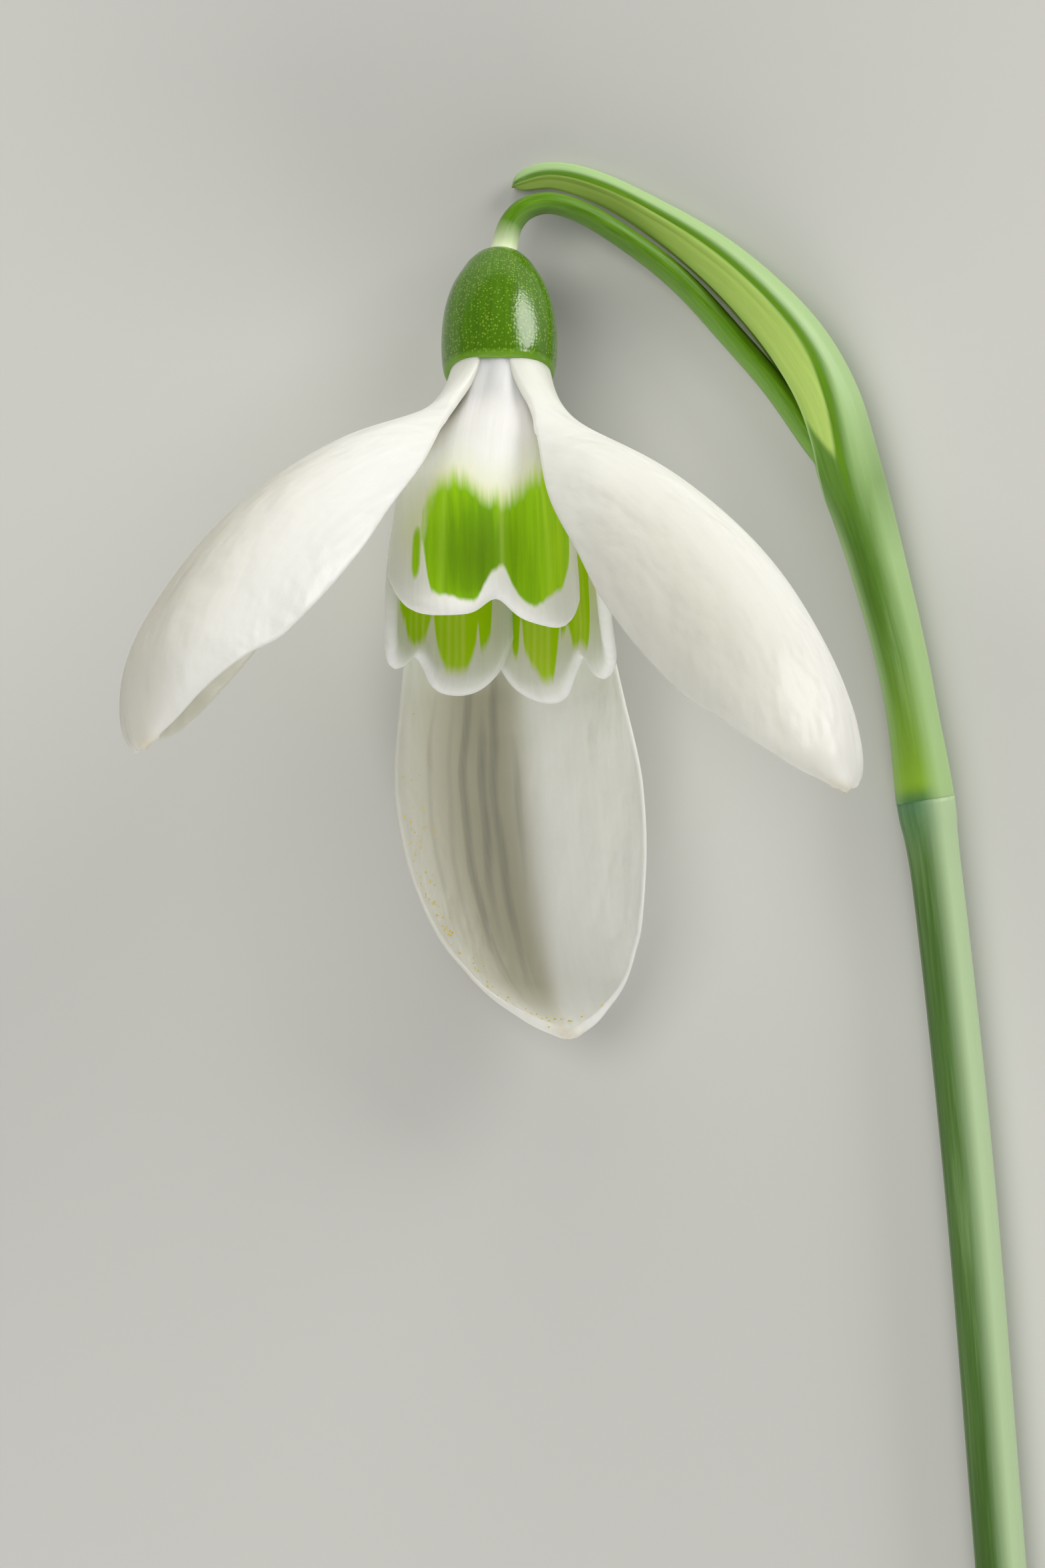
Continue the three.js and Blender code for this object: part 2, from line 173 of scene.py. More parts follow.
def piece(name, points, quads, triangles, values, material):
    """A smooth piece from points in mm, with its faces pointing out and its values kept at its points."""
    corners = np.vstack([quads[:, [0, 1, 2]], quads[:, [0, 2, 3]], triangles])
    a, b, c = (points[corners[:, k]] for k in range(3))
    if np.einsum("ij,ij->", a, np.cross(b, c)) < 0:
        quads, triangles = quads[:, ::-1], triangles[:, ::-1]
    mesh = bpy.data.meshes.new(name)
    mesh.from_pydata((points * mm).tolist(), [], quads.tolist() + triangles.tolist())
    for key, value in values.items():
        kind, field = ("FLOAT", "value") if value.ndim == 1 else ("FLOAT_VECTOR", "vector")
        mesh.attributes.new(key, kind, "POINT").data.foreach_set(field, value.astype(np.float32).ravel())
    mesh.polygons.foreach_set("use_smooth", [True] * len(mesh.polygons))
    mesh.materials.append(material)
    mesh.update()
    made = bpy.data.objects.new(name, mesh)
    collection.objects.link(made)
    return made


def tube(name, rings, values, material):
    """A closed piece from rows of points round it. The first and the last row each close to one point."""
    rows, sides = rings.shape[:2]

    def flat(grid):
        middle = grid[1:-1].reshape(-1, *grid.shape[2:])
        return np.concatenate([grid[:1].mean(axis=1), middle, grid[-1:].mean(axis=1)])

    here = np.arange(sides)
    after = (here + 1) % sides
    row = 1 + np.arange(rows - 3)[:, None] * sides
    quads = np.stack([row + here, row + after, row + sides + after, row + sides + here], -1).reshape(-1, 4)
    last = 1 + (rows - 3) * sides
    ends = np.vstack([
        np.stack([here * 0, 1 + after, 1 + here], -1),
        np.stack([here * 0 + last + sides, last + here, last + after], -1),
    ])
    return piece(name, flat(rings), quads, ends, {key: flat(grid) for key, grid in values.items()}, material)


def finish(made, slot, *nodes):
    """The piece rides with the flower and stands for its nodes. slot is not used."""
    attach(made, "root")
    if nodes:
        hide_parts(*nodes)


def fade(value, start, over):
    """Runs from 0 where value is at start to 1 where it is past it by over. A negative over runs back."""
    return np.clip((value - start) / over, 0, 1)


def ring_points(place, side, top, across, upward):
    """Points round a line from route, by how far they lie to its side and to its top."""
    return place[:, None] + side[:, None] * across[..., None] + top[:, None] * upward[..., None]


def ribbed_skin(tree, grain_in, fine_stretch, broad_stretch, greens):
    """The fine lines of leaf skin, and its greens along them and along broad, uneven bands."""
    fine = add(tree, "ShaderNodeMapping", {"Vector": grain_in, "Scale": (5, 5, fine_stretch)})
    fine_lines = add(tree, "ShaderNodeTexNoise", {
        "Vector": fine.outputs[0], "Scale": 1.6, "Detail": 4, "Roughness": 0.6})
    broad = add(tree, "ShaderNodeMapping", {"Vector": grain_in, "Scale": (0.9, 0.9, broad_stretch)})
    broad_noise = add(tree, "ShaderNodeTexNoise", {"Vector": broad.outputs[0], "Scale": 1, "Detail": 2})
    mixed = add(tree, "ShaderNodeMath", {0: fine_lines.outputs[0], 1: 0.45, 2: broad_noise.outputs[0]},
                operation="MULTIPLY_ADD")
    skin = add(tree, "ShaderNodeValToRGB", {"Fac": mixed.outputs[0]}, greens)
    return fine_lines.outputs[0], skin.outputs[0]


STEM_PATH = [(19.42, -41.106), (17.9, -21.9), (16.4, -3.6), (15.0, 9.3), (14.5, 12.7)]
STEM_RADIUS = [(0, 1.22), (0.2, 1.17), (0.9, 1.17), (0.97, 1.2), (0.985, 1.26), (1, 1.27)]
STEM_FLATNESS = [(0, 1.0), (0.94, 1.0), (0.985, 1.05), (1, 1.06)]
# Half the stem's thickness at its cut, which is its middle's height there too, and its rise to each next
# point of the path, in mm
CUT_RADIUS, RISE_PER_POINT = 1.22, 0.0125
# How far the skin lies inside that thickness, and how far its ribs stand out, in mm
skin_inset, rib = 0.022, 0.006
rows, sides, cut_rows = 260, 96, 7
shares = np.concatenate([np.zeros(cut_rows), np.linspace(0, 1, rows), np.ones(5)])
shrink = np.concatenate([np.linspace(0, 0.97, cut_rows), np.ones(rows), [0.95, 0.7, 0.4, 0.2, 0]])
stem_line = [(x, y, CUT_RADIUS + RISE_PER_POINT * i) for i, (x, y) in enumerate(STEM_PATH)]
place, side, top, length = route(stem_line, shares)
turn = np.linspace(0, 2 * math.pi, sides, endpoint=False)
wide, high = np.cos(turn), np.sin(turn)
ribs = rib * np.cos(13 * turn) + rib * np.cos(22 * turn + 1)
radius = (along(STEM_RADIUS, shares)[:, None] - skin_inset + ribs) * shrink[:, None]
flat = along(STEM_FLATNESS, shares)[:, None]
rings = ring_points(place, side, top, radius * wide * flat, radius * high)
share = shares[:, None] * np.ones(sides)
grain = np.stack([radius * wide, radius * high, share * length], -1)
cut = (np.arange(len(shares)) < cut_rows)[:, None] * np.ones(sides)
# Wax bloom with painted sheen: paler on the stem's right side, where the light falls, fading out by 108
# degrees round from there
wax_and_sheen = fade(np.degrees(np.arccos(wide)), 108, -44) * np.ones(radius.shape)

stem_skin, tree = new_material("living_stem_skin_with_wax_bloom_and_painted_sheen")
# Living stem skin: green, veiled by pale bluish wax that is rubbed thin along fine ribs; a soft sheen. Its
# right side is painted paler, a painted sheen where the light falls on the wax.
grain_in = add(tree, "ShaderNodeAttribute", attribute_name="grain").outputs["Vector"]
share_in, wax_and_sheen_in, middle_in, cut_in = (
    add(tree, "ShaderNodeAttribute", attribute_name=kept).outputs["Fac"]
    for kept in ("share", "wax_and_sheen", "from_middle", "cut"))
fine_lines, colour = ribbed_skin(
    tree, grain_in, 0.16, 0.06, [(0.48, "#456528"), (0.95, "#74945A"), (0.66, "#4C6E31"), (0.78, "#587B3C")])
near_ring = add(tree, "ShaderNodeValToRGB", {"Fac": share_in}, [(0.95, 0.0), (1.0, 0.75), (0.985, 0.35)])
for amount, tint in [(near_ring.outputs[0], "#5C8A68"), (wax_and_sheen_in, "#B6CFA2")]:
    colour = add(tree, "ShaderNodeMix", {0: amount, 6: colour, 7: linear(tint)}, data_type="RGBA").outputs[2]
flesh = add(tree, "ShaderNodeValToRGB", {"Fac": middle_in},
            [(0.0, "#C7D9A0"), (1.0, "#6E9C48"), (0.55, "#DDE8BE"), (0.8, "#A9C880")])
whole = add(tree, "ShaderNodeMix", {0: cut_in, 6: colour, 7: flesh.outputs[0]}, data_type="RGBA")
bumps = add(tree, "ShaderNodeBump", {"Height": fine_lines, "Strength": 0.35, "Distance": 0.05 * mm})
shader = add(tree, "ShaderNodeBsdfPrincipled", {
    "Base Color": whole.outputs[2], "Normal": bumps.outputs[0], "Roughness": 0.42, "Specular IOR Level": 0.3,
    "Sheen Weight": 0.12, "Sheen Roughness": 0.4, "Sheen Tint": linear("#DCE8D6"),
    "Subsurface Weight": 0.12, "Subsurface Radius": (0.5, 1.0, 0.3), "Subsurface Scale": 0.5 * mm})
add(tree, "ShaderNodeOutputMaterial", {"Surface": shader.outputs[0]})

stem = tube("stem_skin", rings, {
    "grain": grain, "cut": cut, "share": share, "from_middle": radius / CUT_RADIUS, "wax_and_sheen": wax_and_sheen}, stem_skin)
finish(stem, "stem_green", "stem")


# Sheath
# Two green keels, grown together by a thin pale membrane. It is a closed tube over the ring, opens along
# the flower's side in a pointed slit, and narrows to a slightly hooked tip over the arch of the stalk.
def blade(name, middle, thickness, values, material):
    """A thin closed piece round a middle surface. Its two faces meet in the surface's own edge."""
    rows, columns = middle.shape[:2]
    normal = np.cross(np.gradient(middle, axis=0), np.gradient(middle, axis=1))
    normal /= np.maximum(np.linalg.norm(normal, axis=2, keepdims=True), 1e-9)
    offset = normal * (thickness / 2)[..., None]
    front = np.arange(rows * columns).reshape(rows, columns)
    back = front.copy()
    back[1:-1, 1:-1] = rows * columns + np.arange((rows - 2) * (columns - 2)).reshape(rows - 2, columns - 2)
    points = np.concatenate([(middle + offset).reshape(-1, 3), (middle - offset)[1:-1, 1:-1].reshape(-1, 3)])

    def squares(grid):
        return np.stack([grid[:-1, :-1], grid[:-1, 1:], grid[1:, 1:], grid[1:, :-1]], -1).reshape(-1, 4)

    quads = np.concatenate([squares(front), squares(back)[:, ::-1]])
    kept = {}
    for key, grid in values.items():
        inner = grid[1:-1, 1:-1]
        kept[key] = np.concatenate([grid.reshape(-1, *grid.shape[2:]), inner.reshape(-1, *grid.shape[2:])])
    return piece(name, points, quads, np.zeros((0, 3), int), kept, material)


def hump(value, middle, width):
    """A smooth hump: 1 where value is at its middle, and fading to both sides of it."""
    return np.exp(-(((value - middle) / width) ** 2))


def rounded(value, start, over):
    """Falls in a quarter circle, from 1 where value is at start to 0 where it is past it by over."""
    return np.sqrt(1 - fade(value, start, over) ** 2)


SPATHE_PATH = [
    (14.53, 12.42, 1.27), (14.1, 15.4, 1.2), (13.4, 19.1, 1.2), (12.1, 24.0, 1.3), (11.0, 27.6, 1.45),
    (10.0, 30.7, 1.48), (8.7, 33.0, 1.46), (7.0, 35.05, 1.35), (4.9, 37.0, 1.18), (2.4, 38.75, 0.92),
    (-0.1, 40.1, 0.7), (-2.35, 40.7, 0.52), (-4.1, 40.35, 0.4),
]
SPATHE_HALF_WIDTH = [
    (0, 1.28), (0.02, 1.26), (0.12, 1.15), (0.3, 1.25), (0.42, 1.42), (0.55, 1.45), (0.7, 1.2),
    (0.85, 0.82), (0.95, 0.72), (0.98, 0.62), (0.993, 0.4), (1, 0.1),
]
LIP_TURN = [(0, 184), (0.37, 184), (0.405, 168), (0.45, 150), (0.5, 146), (0.8, 142), (1, 125)]
LINE_TURN = [(0.4, 108), (0.43, 104), (0.5, 93), (0.56, 80), (0.62, 76), (1, 72)]
SPATHE_FLATNESS = [(0, 1.05), (0.03, 1.04), (0.15, 1.0), (1, 1.0)]
SPATHE_WALL = [(0, 0.3), (0.9, 0.3), (1, 0.24)]
# The middle surface lies half a wall inside the half width, and no lower than this height, in mm
half_wall, lowest = 0.15, 0.16
rows, columns = 300, 120
t = np.linspace(0, 1, rows)[:, None] * np.ones(columns)
s = np.linspace(-1, 1, columns)
s = (0.7 * s + 0.3 * np.sin(s * math.pi / 2))[None, :] * np.ones((rows, 1))
place, side, top, length = route(SPATHE_PATH, t[:, 0])
turn = s * np.radians(along(LIP_TURN, t))
degrees = np.degrees(turn)
# Degrees round from the middle of its outer side, degrees past the green line, and how near the lips
away = np.abs(degrees)
from_line = away - along(LINE_TURN, t)
to_lip = np.abs(s)
open_part = fade(t, 0.37, 0.1)
keel = hump(degrees, 0, 26) * 0.06 * fade(t, 0, 0.3)
crease = -0.035 * hump(from_line, 0, 8) * fade(t, 0.38, 0.1)
inner_side = 0.16 * fade(away, 95, 45) * open_part
radius = along(SPATHE_HALF_WIDTH, t) * (1 + keel + crease + inner_side) - half_wall
radius += 0.008 * np.cos(turn * 17)
rise = np.minimum(1, (place[:, 2:] - lowest) / radius) * radius
flat = along(SPATHE_FLATNESS, t)
middle = ring_points(place, side, top, radius * np.cos(turn) * flat, rise * np.sin(turn))
wall = along(SPATHE_WALL, t) * (1 - 0.45 * open_part * fade(away, 84, 12))
foot = np.clip(t * rows / 2, 0, 1)
thickness = wall * rounded(to_lip, 0.97, 0.03) * rounded(t, 0.99, 0.01) * foot
grain = np.stack([radius * np.cos(turn), radius * np.sin(turn), t * length], -1)
film_width = 8 + 70 * fade(t, 0.43, 0.1)
membrane = fade(from_line, 3, 5) * fade(film_width - from_line, 0, 8) * fade(t, 0.43, 0.02)
membrane *= 1 - 0.45 * fade(away, 125, 20)
line = hump(from_line, -3, 7) * fade(t, 0.36, 0.08)
line *= 1 - fade(t, 0.9, 0.08)
# Wax bloom, painted paler in part as a sheen where the light falls, lies on the keels' backs, on the tube's
# side towards the flower, on its outer side and by the lips
wax_and_sheen = np.maximum.reduce([
    fade(from_line, -9, -16) * fade(t, 0.3, 0.2),
    fade(away, 134, 26) * fade(t, 0.42, -0.1) * np.clip(t / 0.2, 0.25, 0.75),
    fade(away, 96, -38) * fade(t, 0.5, -0.2) * 0.95,
    0.8 * fade(to_lip, 0.95, 0.02) * fade(t, 0.36, 0.03) * fade(t, 0.6, -0.05),
])

sheath_skin, tree = new_material("sheath_of_leaf_and_membrane")
# Leaf tissue with a pale wax bloom on the keels, painted paler in part as a sheen, a clear green line, and a
# membrane that lets light through.
grain_in = add(tree, "ShaderNodeAttribute", attribute_name="grain").outputs["Vector"]
share_in, wax_and_sheen_in, line_in, membrane_in = (
    add(tree, "ShaderNodeAttribute", attribute_name=kept).outputs["Fac"]
    for kept in ("share", "wax_and_sheen", "line", "membrane"))
fine_lines, colour = ribbed_skin(
    tree, grain_in, 0.2, 0.08, [(0.48, "#4C7422"), (0.95, "#80A45C"), (0.66, "#5A832B"), (0.78, "#668F38")])
foot_green = add(tree, "ShaderNodeValToRGB", {"Fac": share_in},
                 [(0.004, 0.15), (0.2, 0.0), (0.03, 0.85), (0.08, 0.5)])
at_ring = add(tree, "ShaderNodeValToRGB", {"Fac": share_in}, [(0.008, 0.75), (0.022, 0.0)])
# The wax tint is pale wax bloom with painted sheen where the light falls
for amount, tint in [(foot_green.outputs[0], "#93BC36"), (at_ring.outputs[0], "#4F7E50"),
                     (wax_and_sheen_in, "#ABCB8C"), (line_in, "#64930E")]:
    colour = add(tree, "ShaderNodeMix", {0: amount, 6: colour, 7: linear(tint)}, data_type="RGBA").outputs[2]
film = add(tree, "ShaderNodeValToRGB", {"Fac": fine_lines}, [(0.3, "#B0CE66"), (0.7, "#BAD674")])
upper_part = add(tree, "ShaderNodeValToRGB", {"Fac": share_in}, [(0.55, 0.0), (0.85, 0.5)])
aged = add(tree, "ShaderNodeMix", {0: upper_part.outputs[0], 6: film.outputs[0], 7: linear("#79982F")},
           data_type="RGBA")
filmed = add(tree, "ShaderNodeMix", {0: membrane_in, 6: colour, 7: aged.outputs[2]}, data_type="RGBA")
bumps = add(tree, "ShaderNodeBump", {"Height": fine_lines, "Strength": 0.3, "Distance": 0.05 * mm})
shader = add(tree, "ShaderNodeBsdfPrincipled", {
    "Base Color": filmed.outputs[2], "Normal": bumps.outputs[0], "Roughness": 0.4, "Specular IOR Level": 0.35,
    "Sheen Weight": 0.12, "Sheen Roughness": 0.4, "Sheen Tint": linear("#DCE8D6"),
    "Subsurface Weight": 0.18, "Subsurface Radius": (0.6, 1.0, 0.3), "Subsurface Scale": 0.6 * mm})
add(tree, "ShaderNodeOutputMaterial", {"Surface": shader.outputs[0]})

sheath = blade("sheath", middle, thickness,
               {"grain": grain, "share": t, "line": line, "membrane": membrane, "wax_and_sheen": wax_and_sheen}, sheath_skin)
finish(sheath, "sheath_green", "spathe")


# Flower stalk
# A thin, round, solid green stalk that leaves the slit, follows the sheath and turns down to the ovary,
# where it widens and pales to whitish green.
def closed_line(rows, sides):
    """Shares along a thin piece, its shrinking to a point at both ends, and the turns round it."""
    shares = np.concatenate([[0], np.linspace(0, 1, rows), [1]])
    shrink = np.concatenate([[0], np.ones(rows), [0]])
    return shares[:, None], shrink[:, None], np.linspace(0, 2 * math.pi, sides, endpoint=False)


PEDICEL_PATH = [
    (14.2, 14.7, 1.24), (13.42, 19.1, 1.2), (12.1, 23.8, 1.25), (10.75, 27.0, 1.35), (9.35, 28.95, 1.4),
    (7.7, 31.3, 1.4), (5.77, 33.55, 1.4), (3.48, 36.0, 1.5), (1.29, 37.7, 1.75), (-1.07, 39.08, 2.25),
    (-2.5, 39.42, 2.65), (-3.55, 39.1, 3.0), (-4.15, 38.4, 3.25), (-4.45, 37.3, 3.5), (-4.52, 36.6, 3.75),
]
STALK_RADIUS = [(0, 0.5), (0.3, 0.56), (0.6, 0.57), (0.78, 0.52), (0.88, 0.49), (0.96, 0.56), (1, 0.62)]
shares, shrink, turn = closed_line(240, 48)
place, side, top, length = route(PEDICEL_PATH, shares[:, 0])
radius = (along(STALK_RADIUS, shares) + 0.006 * np.cos(9 * turn)) * shrink
across, upward = radius * np.cos(turn), radius * np.sin(turn)
rings = ring_points(place, side, top, across, upward)
share = shares * np.ones(len(turn))
grain = np.stack([across, upward, share * length], -1)
outer_side = np.cos(turn) * np.ones(radius.shape)

stalk_skin, tree = new_material("smooth_stalk_skin")
# Smooth, sappy green skin, painted paler on its free side: a thin wax veil with a painted highlight; almost
# white where it joins the ovary.
grain_in = add(tree, "ShaderNodeAttribute", attribute_name="grain").outputs["Vector"]
side_in, share_in = (
    add(tree, "ShaderNodeAttribute", attribute_name=kept).outputs["Fac"] for kept in ("outer_side", "share"))
fine = add(tree, "ShaderNodeMapping", {"Vector": grain_in, "Scale": (6, 6, 0.4)})
fine_lines = add(tree, "ShaderNodeTexNoise", {
    "Vector": fine.outputs[0], "Scale": 1.6, "Detail": 4, "Roughness": 0.6})
skin = add(tree, "ShaderNodeValToRGB", {"Fac": fine_lines.outputs[0]}, [(0.3, "#4E7A0A"), (0.75, "#6C9C20")])
# Painted highlight: a paler wax veil along the stalk's free side
veil_and_highlight = add(tree, "ShaderNodeMapRange", {"Value": side_in, "From Min": 0.2, "From Max": -0.9, "To Max": 0.6})
pale = add(tree, "ShaderNodeValToRGB", {"Fac": share_in}, [(0.945, 0.0), (0.98, 1.0)])
colour = skin.outputs[0]
for amount, tint in [(veil_and_highlight.outputs[0], "#86A866"), (pale.outputs[0], "#EDFACF")]:
    colour = add(tree, "ShaderNodeMix", {0: amount, 6: colour, 7: linear(tint)}, data_type="RGBA").outputs[2]
bumps = add(tree, "ShaderNodeBump", {"Height": fine_lines.outputs[0], "Strength": 0.2, "Distance": 0.04 * mm})
shader = add(tree, "ShaderNodeBsdfPrincipled", {
    "Base Color": colour, "Normal": bumps.outputs[0], "Roughness": 0.36, "Specular IOR Level": 0.2,
    "Subsurface Weight": 0.15, "Subsurface Radius": (0.5, 1.0, 0.3), "Subsurface Scale": 0.4 * mm})
add(tree, "ShaderNodeOutputMaterial", {"Surface": shader.outputs[0]})

stalk = tube("flower_stalk", rings, {"grain": grain, "outer_side": outer_side, "share": share}, stalk_skin)
finish(stalk, "stalk_green", "pedicel")


# Ovary
# The firm green egg above the petals, with a broad lower rim from which they spring. Its waxy skin has
# very fine rows of pale pores and six faint ribs.
NECK = np.array([-4.66, 31.6, 5.95])
# The bloom hangs along the surface, with its mouth tipped up by 25.5 degrees
MOUTH_TURN = math.radians(90 - 25.5)


def bloom(points, azimuth=0):
    """Points round the bloom's own axis, turned by azimuth degrees and set on the neck, mouth tipped up."""
    x, y, z = np.moveaxis(np.asarray(points, float), -1, 0)
    around = math.radians(azimuth)
    x, y = x * math.cos(around) + y * math.sin(around), y * math.cos(around) - x * math.sin(around)
    cos, sin = math.cos(MOUTH_TURN), math.sin(MOUTH_TURN)
    return np.stack([x, y * cos - z * sin, y * sin + z * cos], -1) + NECK


# [radius, height above the neck], from the dimple under the stalk down to the closed underside
OVARY_PROFILE = [
    (0, 5.95), (0.55, 6.0), (0.95, 5.92), (1.4, 5.5), (1.8, 4.86), (2.14, 4.2), (2.42, 3.3), (2.57, 2.3),
    (2.6, 1.5), (2.56, 0.7), (2.5, 0.25), (2.42, -0.02), (2.3, -0.12), (1.9, -0.16), (1.0, -0.16),
    (0, -0.16),
]
profile = np.array(OVARY_PROFILE, float)
measure = np.concatenate([[0], np.cumsum(np.linalg.norm(np.diff(profile, axis=0), axis=1))])
measure /= measure[-1]
rows, sides = 150, 144
everywhere = np.ones((rows, sides))
t = np.linspace(0, 1, rows)[:, None]
radius, above = (along(np.stack([measure, profile[:, k]], 1), t) for k in (0, 1))
turn = np.linspace(0, 2 * math.pi, sides, endpoint=False)
ribs = 1 + 0.012 * np.cos(6 * turn) * np.sin(fade(above, 0, 5.9) * math.pi)
wide = np.maximum(radius, 0) * ribs
# The lower rim reaches further down over the front petal
reach = 0.34 * hump(np.minimum(turn, 2 * math.pi - turn), 0, 0.8) * fade(above, 1.4, -1.3)
rings = np.stack([wide * np.sin(turn), wide * np.cos(turn), reach - above], -1)
skin_radius = 2.5
grain = np.stack([skin_radius * np.sin(turn) * everywhere, skin_radius * np.cos(turn) * everywhere,
                  above * everywhere], -1)
# A painted highlight: lighter green along the lower rim
rim_highlight = fade(above, 0.22, -0.3) * everywhere

ovary_skin, tree = new_material("waxy_ovary_skin")
# Firm, glossy green skin, dotted with rows of pale pores, with a painted highlight along its lower rim.
grain_in = add(tree, "ShaderNodeAttribute", attribute_name="grain").outputs["Vector"]
rim_highlight_in = add(tree, "ShaderNodeAttribute", attribute_name="rim_highlight").outputs["Fac"]
long_rows = add(tree, "ShaderNodeMapping", {"Vector": grain_in, "Scale": (3.2, 3.2, 0.25)})
streaks = add(tree, "ShaderNodeTexNoise", {"Vector": long_rows.outputs[0], "Scale": 1.4, "Detail": 3})
skin = add(tree, "ShaderNodeValToRGB", {"Fac": streaks.outputs[0]},
           [(0.32, "#477200"), (0.72, "#528400"), (0.5, "#4B7800")])
# Pores are about 0.04 mm; drawn 0.09 mm wide so that they show
pores = add(tree, "ShaderNodeMapping", {"Vector": grain_in, "Scale": (8, 8, 7)})
pore_cells = add(tree, "ShaderNodeTexVoronoi", {"Vector": pores.outputs[0], "Scale": 1.0, "Randomness": 0.75})
dots = add(tree, "ShaderNodeValToRGB", {"Fac": pore_cells.outputs["Distance"]}, [(0.12, 0.7), (0.4, 0.0)])
colour = skin.outputs[0]
for amount, tint in [(dots.outputs[0], "#9CBE3C"), (rim_highlight_in, "#7FB032")]:
    colour = add(tree, "ShaderNodeMix", {0: amount, 6: colour, 7: linear(tint)}, data_type="RGBA").outputs[2]
rough = add(tree, "ShaderNodeMapRange", {"Value": streaks.outputs[0], "To Min": 0.13, "To Max": 0.22})
bumps = add(tree, "ShaderNodeBump", {
    "Height": pore_cells.outputs["Distance"], "Strength": 0.12, "Distance": 0.05 * mm})
shader = add(tree, "ShaderNodeBsdfPrincipled", {
    "Base Color": colour, "Normal": bumps.outputs[0], "Roughness": rough.outputs[0],
    "Specular IOR Level": 0.55,
    "Subsurface Weight": 0.12, "Subsurface Radius": (0.4, 1.0, 0.2), "Subsurface Scale": 0.6 * mm})
add(tree, "ShaderNodeOutputMaterial", {"Surface": shader.outputs[0]})

ovary = tube("ovary_skin", bloom(rings), {"grain": grain, "rim_highlight": rim_highlight}, ovary_skin)
finish(ovary, "ovary_green", "ovary")


# Outer petals
# Three spoon-shaped white petals, each with a narrow claw, a deep arched section, edges that turn in and
# a blunt tip. The tissue is soft and slightly see-through, with fine lengthwise veins.
def smooth(share):
    """A share from 0 to 1, eased at both ends."""
    return share**2 * (3 - 2 * share)


def petal_relief(tree, grain_in, veins, strength, depth):
    """The fine relief of a petal: veins of a strength and a depth in mm, over its bulging skin cells."""
    # Skin cells are about 0.03 mm; drawn 0.12 mm wide so that they show
    cells = add(tree, "ShaderNodeMapping", {"Vector": grain_in, "Scale": (8, 1, 5)})
    cell_noise = add(tree, "ShaderNodeTexVoronoi", {"Vector": cells.outputs[0], "Scale": 1})
    cell_bump = add(tree, "ShaderNodeBump", {
        "Height": cell_noise.outputs["Distance"], "Strength": 0.1, "Distance": 0.03 * mm})
    return add(tree, "ShaderNodeBump", {
        "Height": veins, "Strength": strength, "Distance": depth * mm, "Normal": cell_bump.outputs[0]})


OUTER_LENGTH = 31
# A petal's claw: its distance from the bloom's axis and its height at the neck, in mm, and how much more
# of its length is seated in the ovary
CLAW_OUT, CLAW_UP, SEATED = 2.05, 0.35, 0.035
OUTER_SPREAD = [
    (0, 12), (0.08, 30), (0.16, 49), (0.24, 53), (0.36, 45), (0.5, 38), (0.65, 28), (0.8, 19), (0.9, 2),
    (1, -22),
]
OUTER_HALF_WIDTH = [
    (0, 1.4), (0.03, 1.25), (0.07, 1.15), (0.11, 1.45), (0.16, 2.4), (0.3, 5.4), (0.45, 6.9), (0.6, 7.7),
    (0.75, 7.15), (0.88, 5.5), (0.96, 3.1), (0.982, 1.75), (0.991, 0.8), (1, 0.45),
]
OUTER_CUP = [(0, 39), (0.1, 40), (0.25, 60), (0.5, 73), (0.8, 75), (1, 40)]
OUTER_THICKNESS = [(0, 0.55), (0.12, 0.6), (0.35, 0.46), (0.9, 0.42), (1, 0.5)]
# How each petal sits and differs. Angles are in degrees. bend and tip_aside, in mm, lead its tip and its
# very end sideways. dark is how grey its shaded side is, and dark_to where across it that side ends.
OUTER_PETALS = {
    "left": dict(azimuth=-58, lean=5.25, sway=6.4, roll=-2.1, size=0.982, width=1.03, bend=-0.4, hook=-9.8,
                 open=1.16, twist=3.7, point=0, tip_aside=0, dark=0.6, dark_to=0.75),
    "right": dict(azimuth=47, lean=0.46, sway=2.8, roll=-2.5, size=0.972, width=0.967, bend=0.9, hook=8.9,
                  open=1.06, twist=-3.1, point=0, tip_aside=0.6, dark=0.4, dark_to=0.2),
    "back": dict(azimuth=177.5, lean=-3.5, sway=-2.3, roll=-7.4, size=0.964, width=0.956, bend=-0.63,
                 hook=0.3, open=0.92, twist=7, point=1, tip_aside=0, dark=0, dark_to=0),
}
# Thin folds of the back petal: place across, start and end along it, depth in mm
FOLDS = [
    (0.395, 0.36, 0.97, 0.09), (0.29, 0.44, 0.88, 0.1), (0.2, 0.36, 0.95, 0.09), (0.08, 0.48, 0.8, 0.06),
    (0.52, 0.4, 0.9, 0.03), (0.66, 0.4, 0.9, 0.03),
]

petal_white, tree = new_material("soft_white_petal")
# White petal tissue: air between its cells makes it white, bulging skin cells give a soft satin sheen.
grain_in = add(tree, "ShaderNodeAttribute", attribute_name="grain").outputs["Vector"]
veins = add(tree, "ShaderNodeMapping", {"Vector": grain_in, "Scale": (2.6, 1, 0.07)})
vein_noise = add(tree, "ShaderNodeTexNoise", {
    "Vector": veins.outputs[0], "Scale": 1, "Detail": 3, "Roughness": 0.55})
white = add(tree, "ShaderNodeValToRGB", {"Fac": vein_noise.outputs[0]}, [(0.3, "#EEEEE8"), (0.72, "#F2F2ED")])
colour = white.outputs[0]
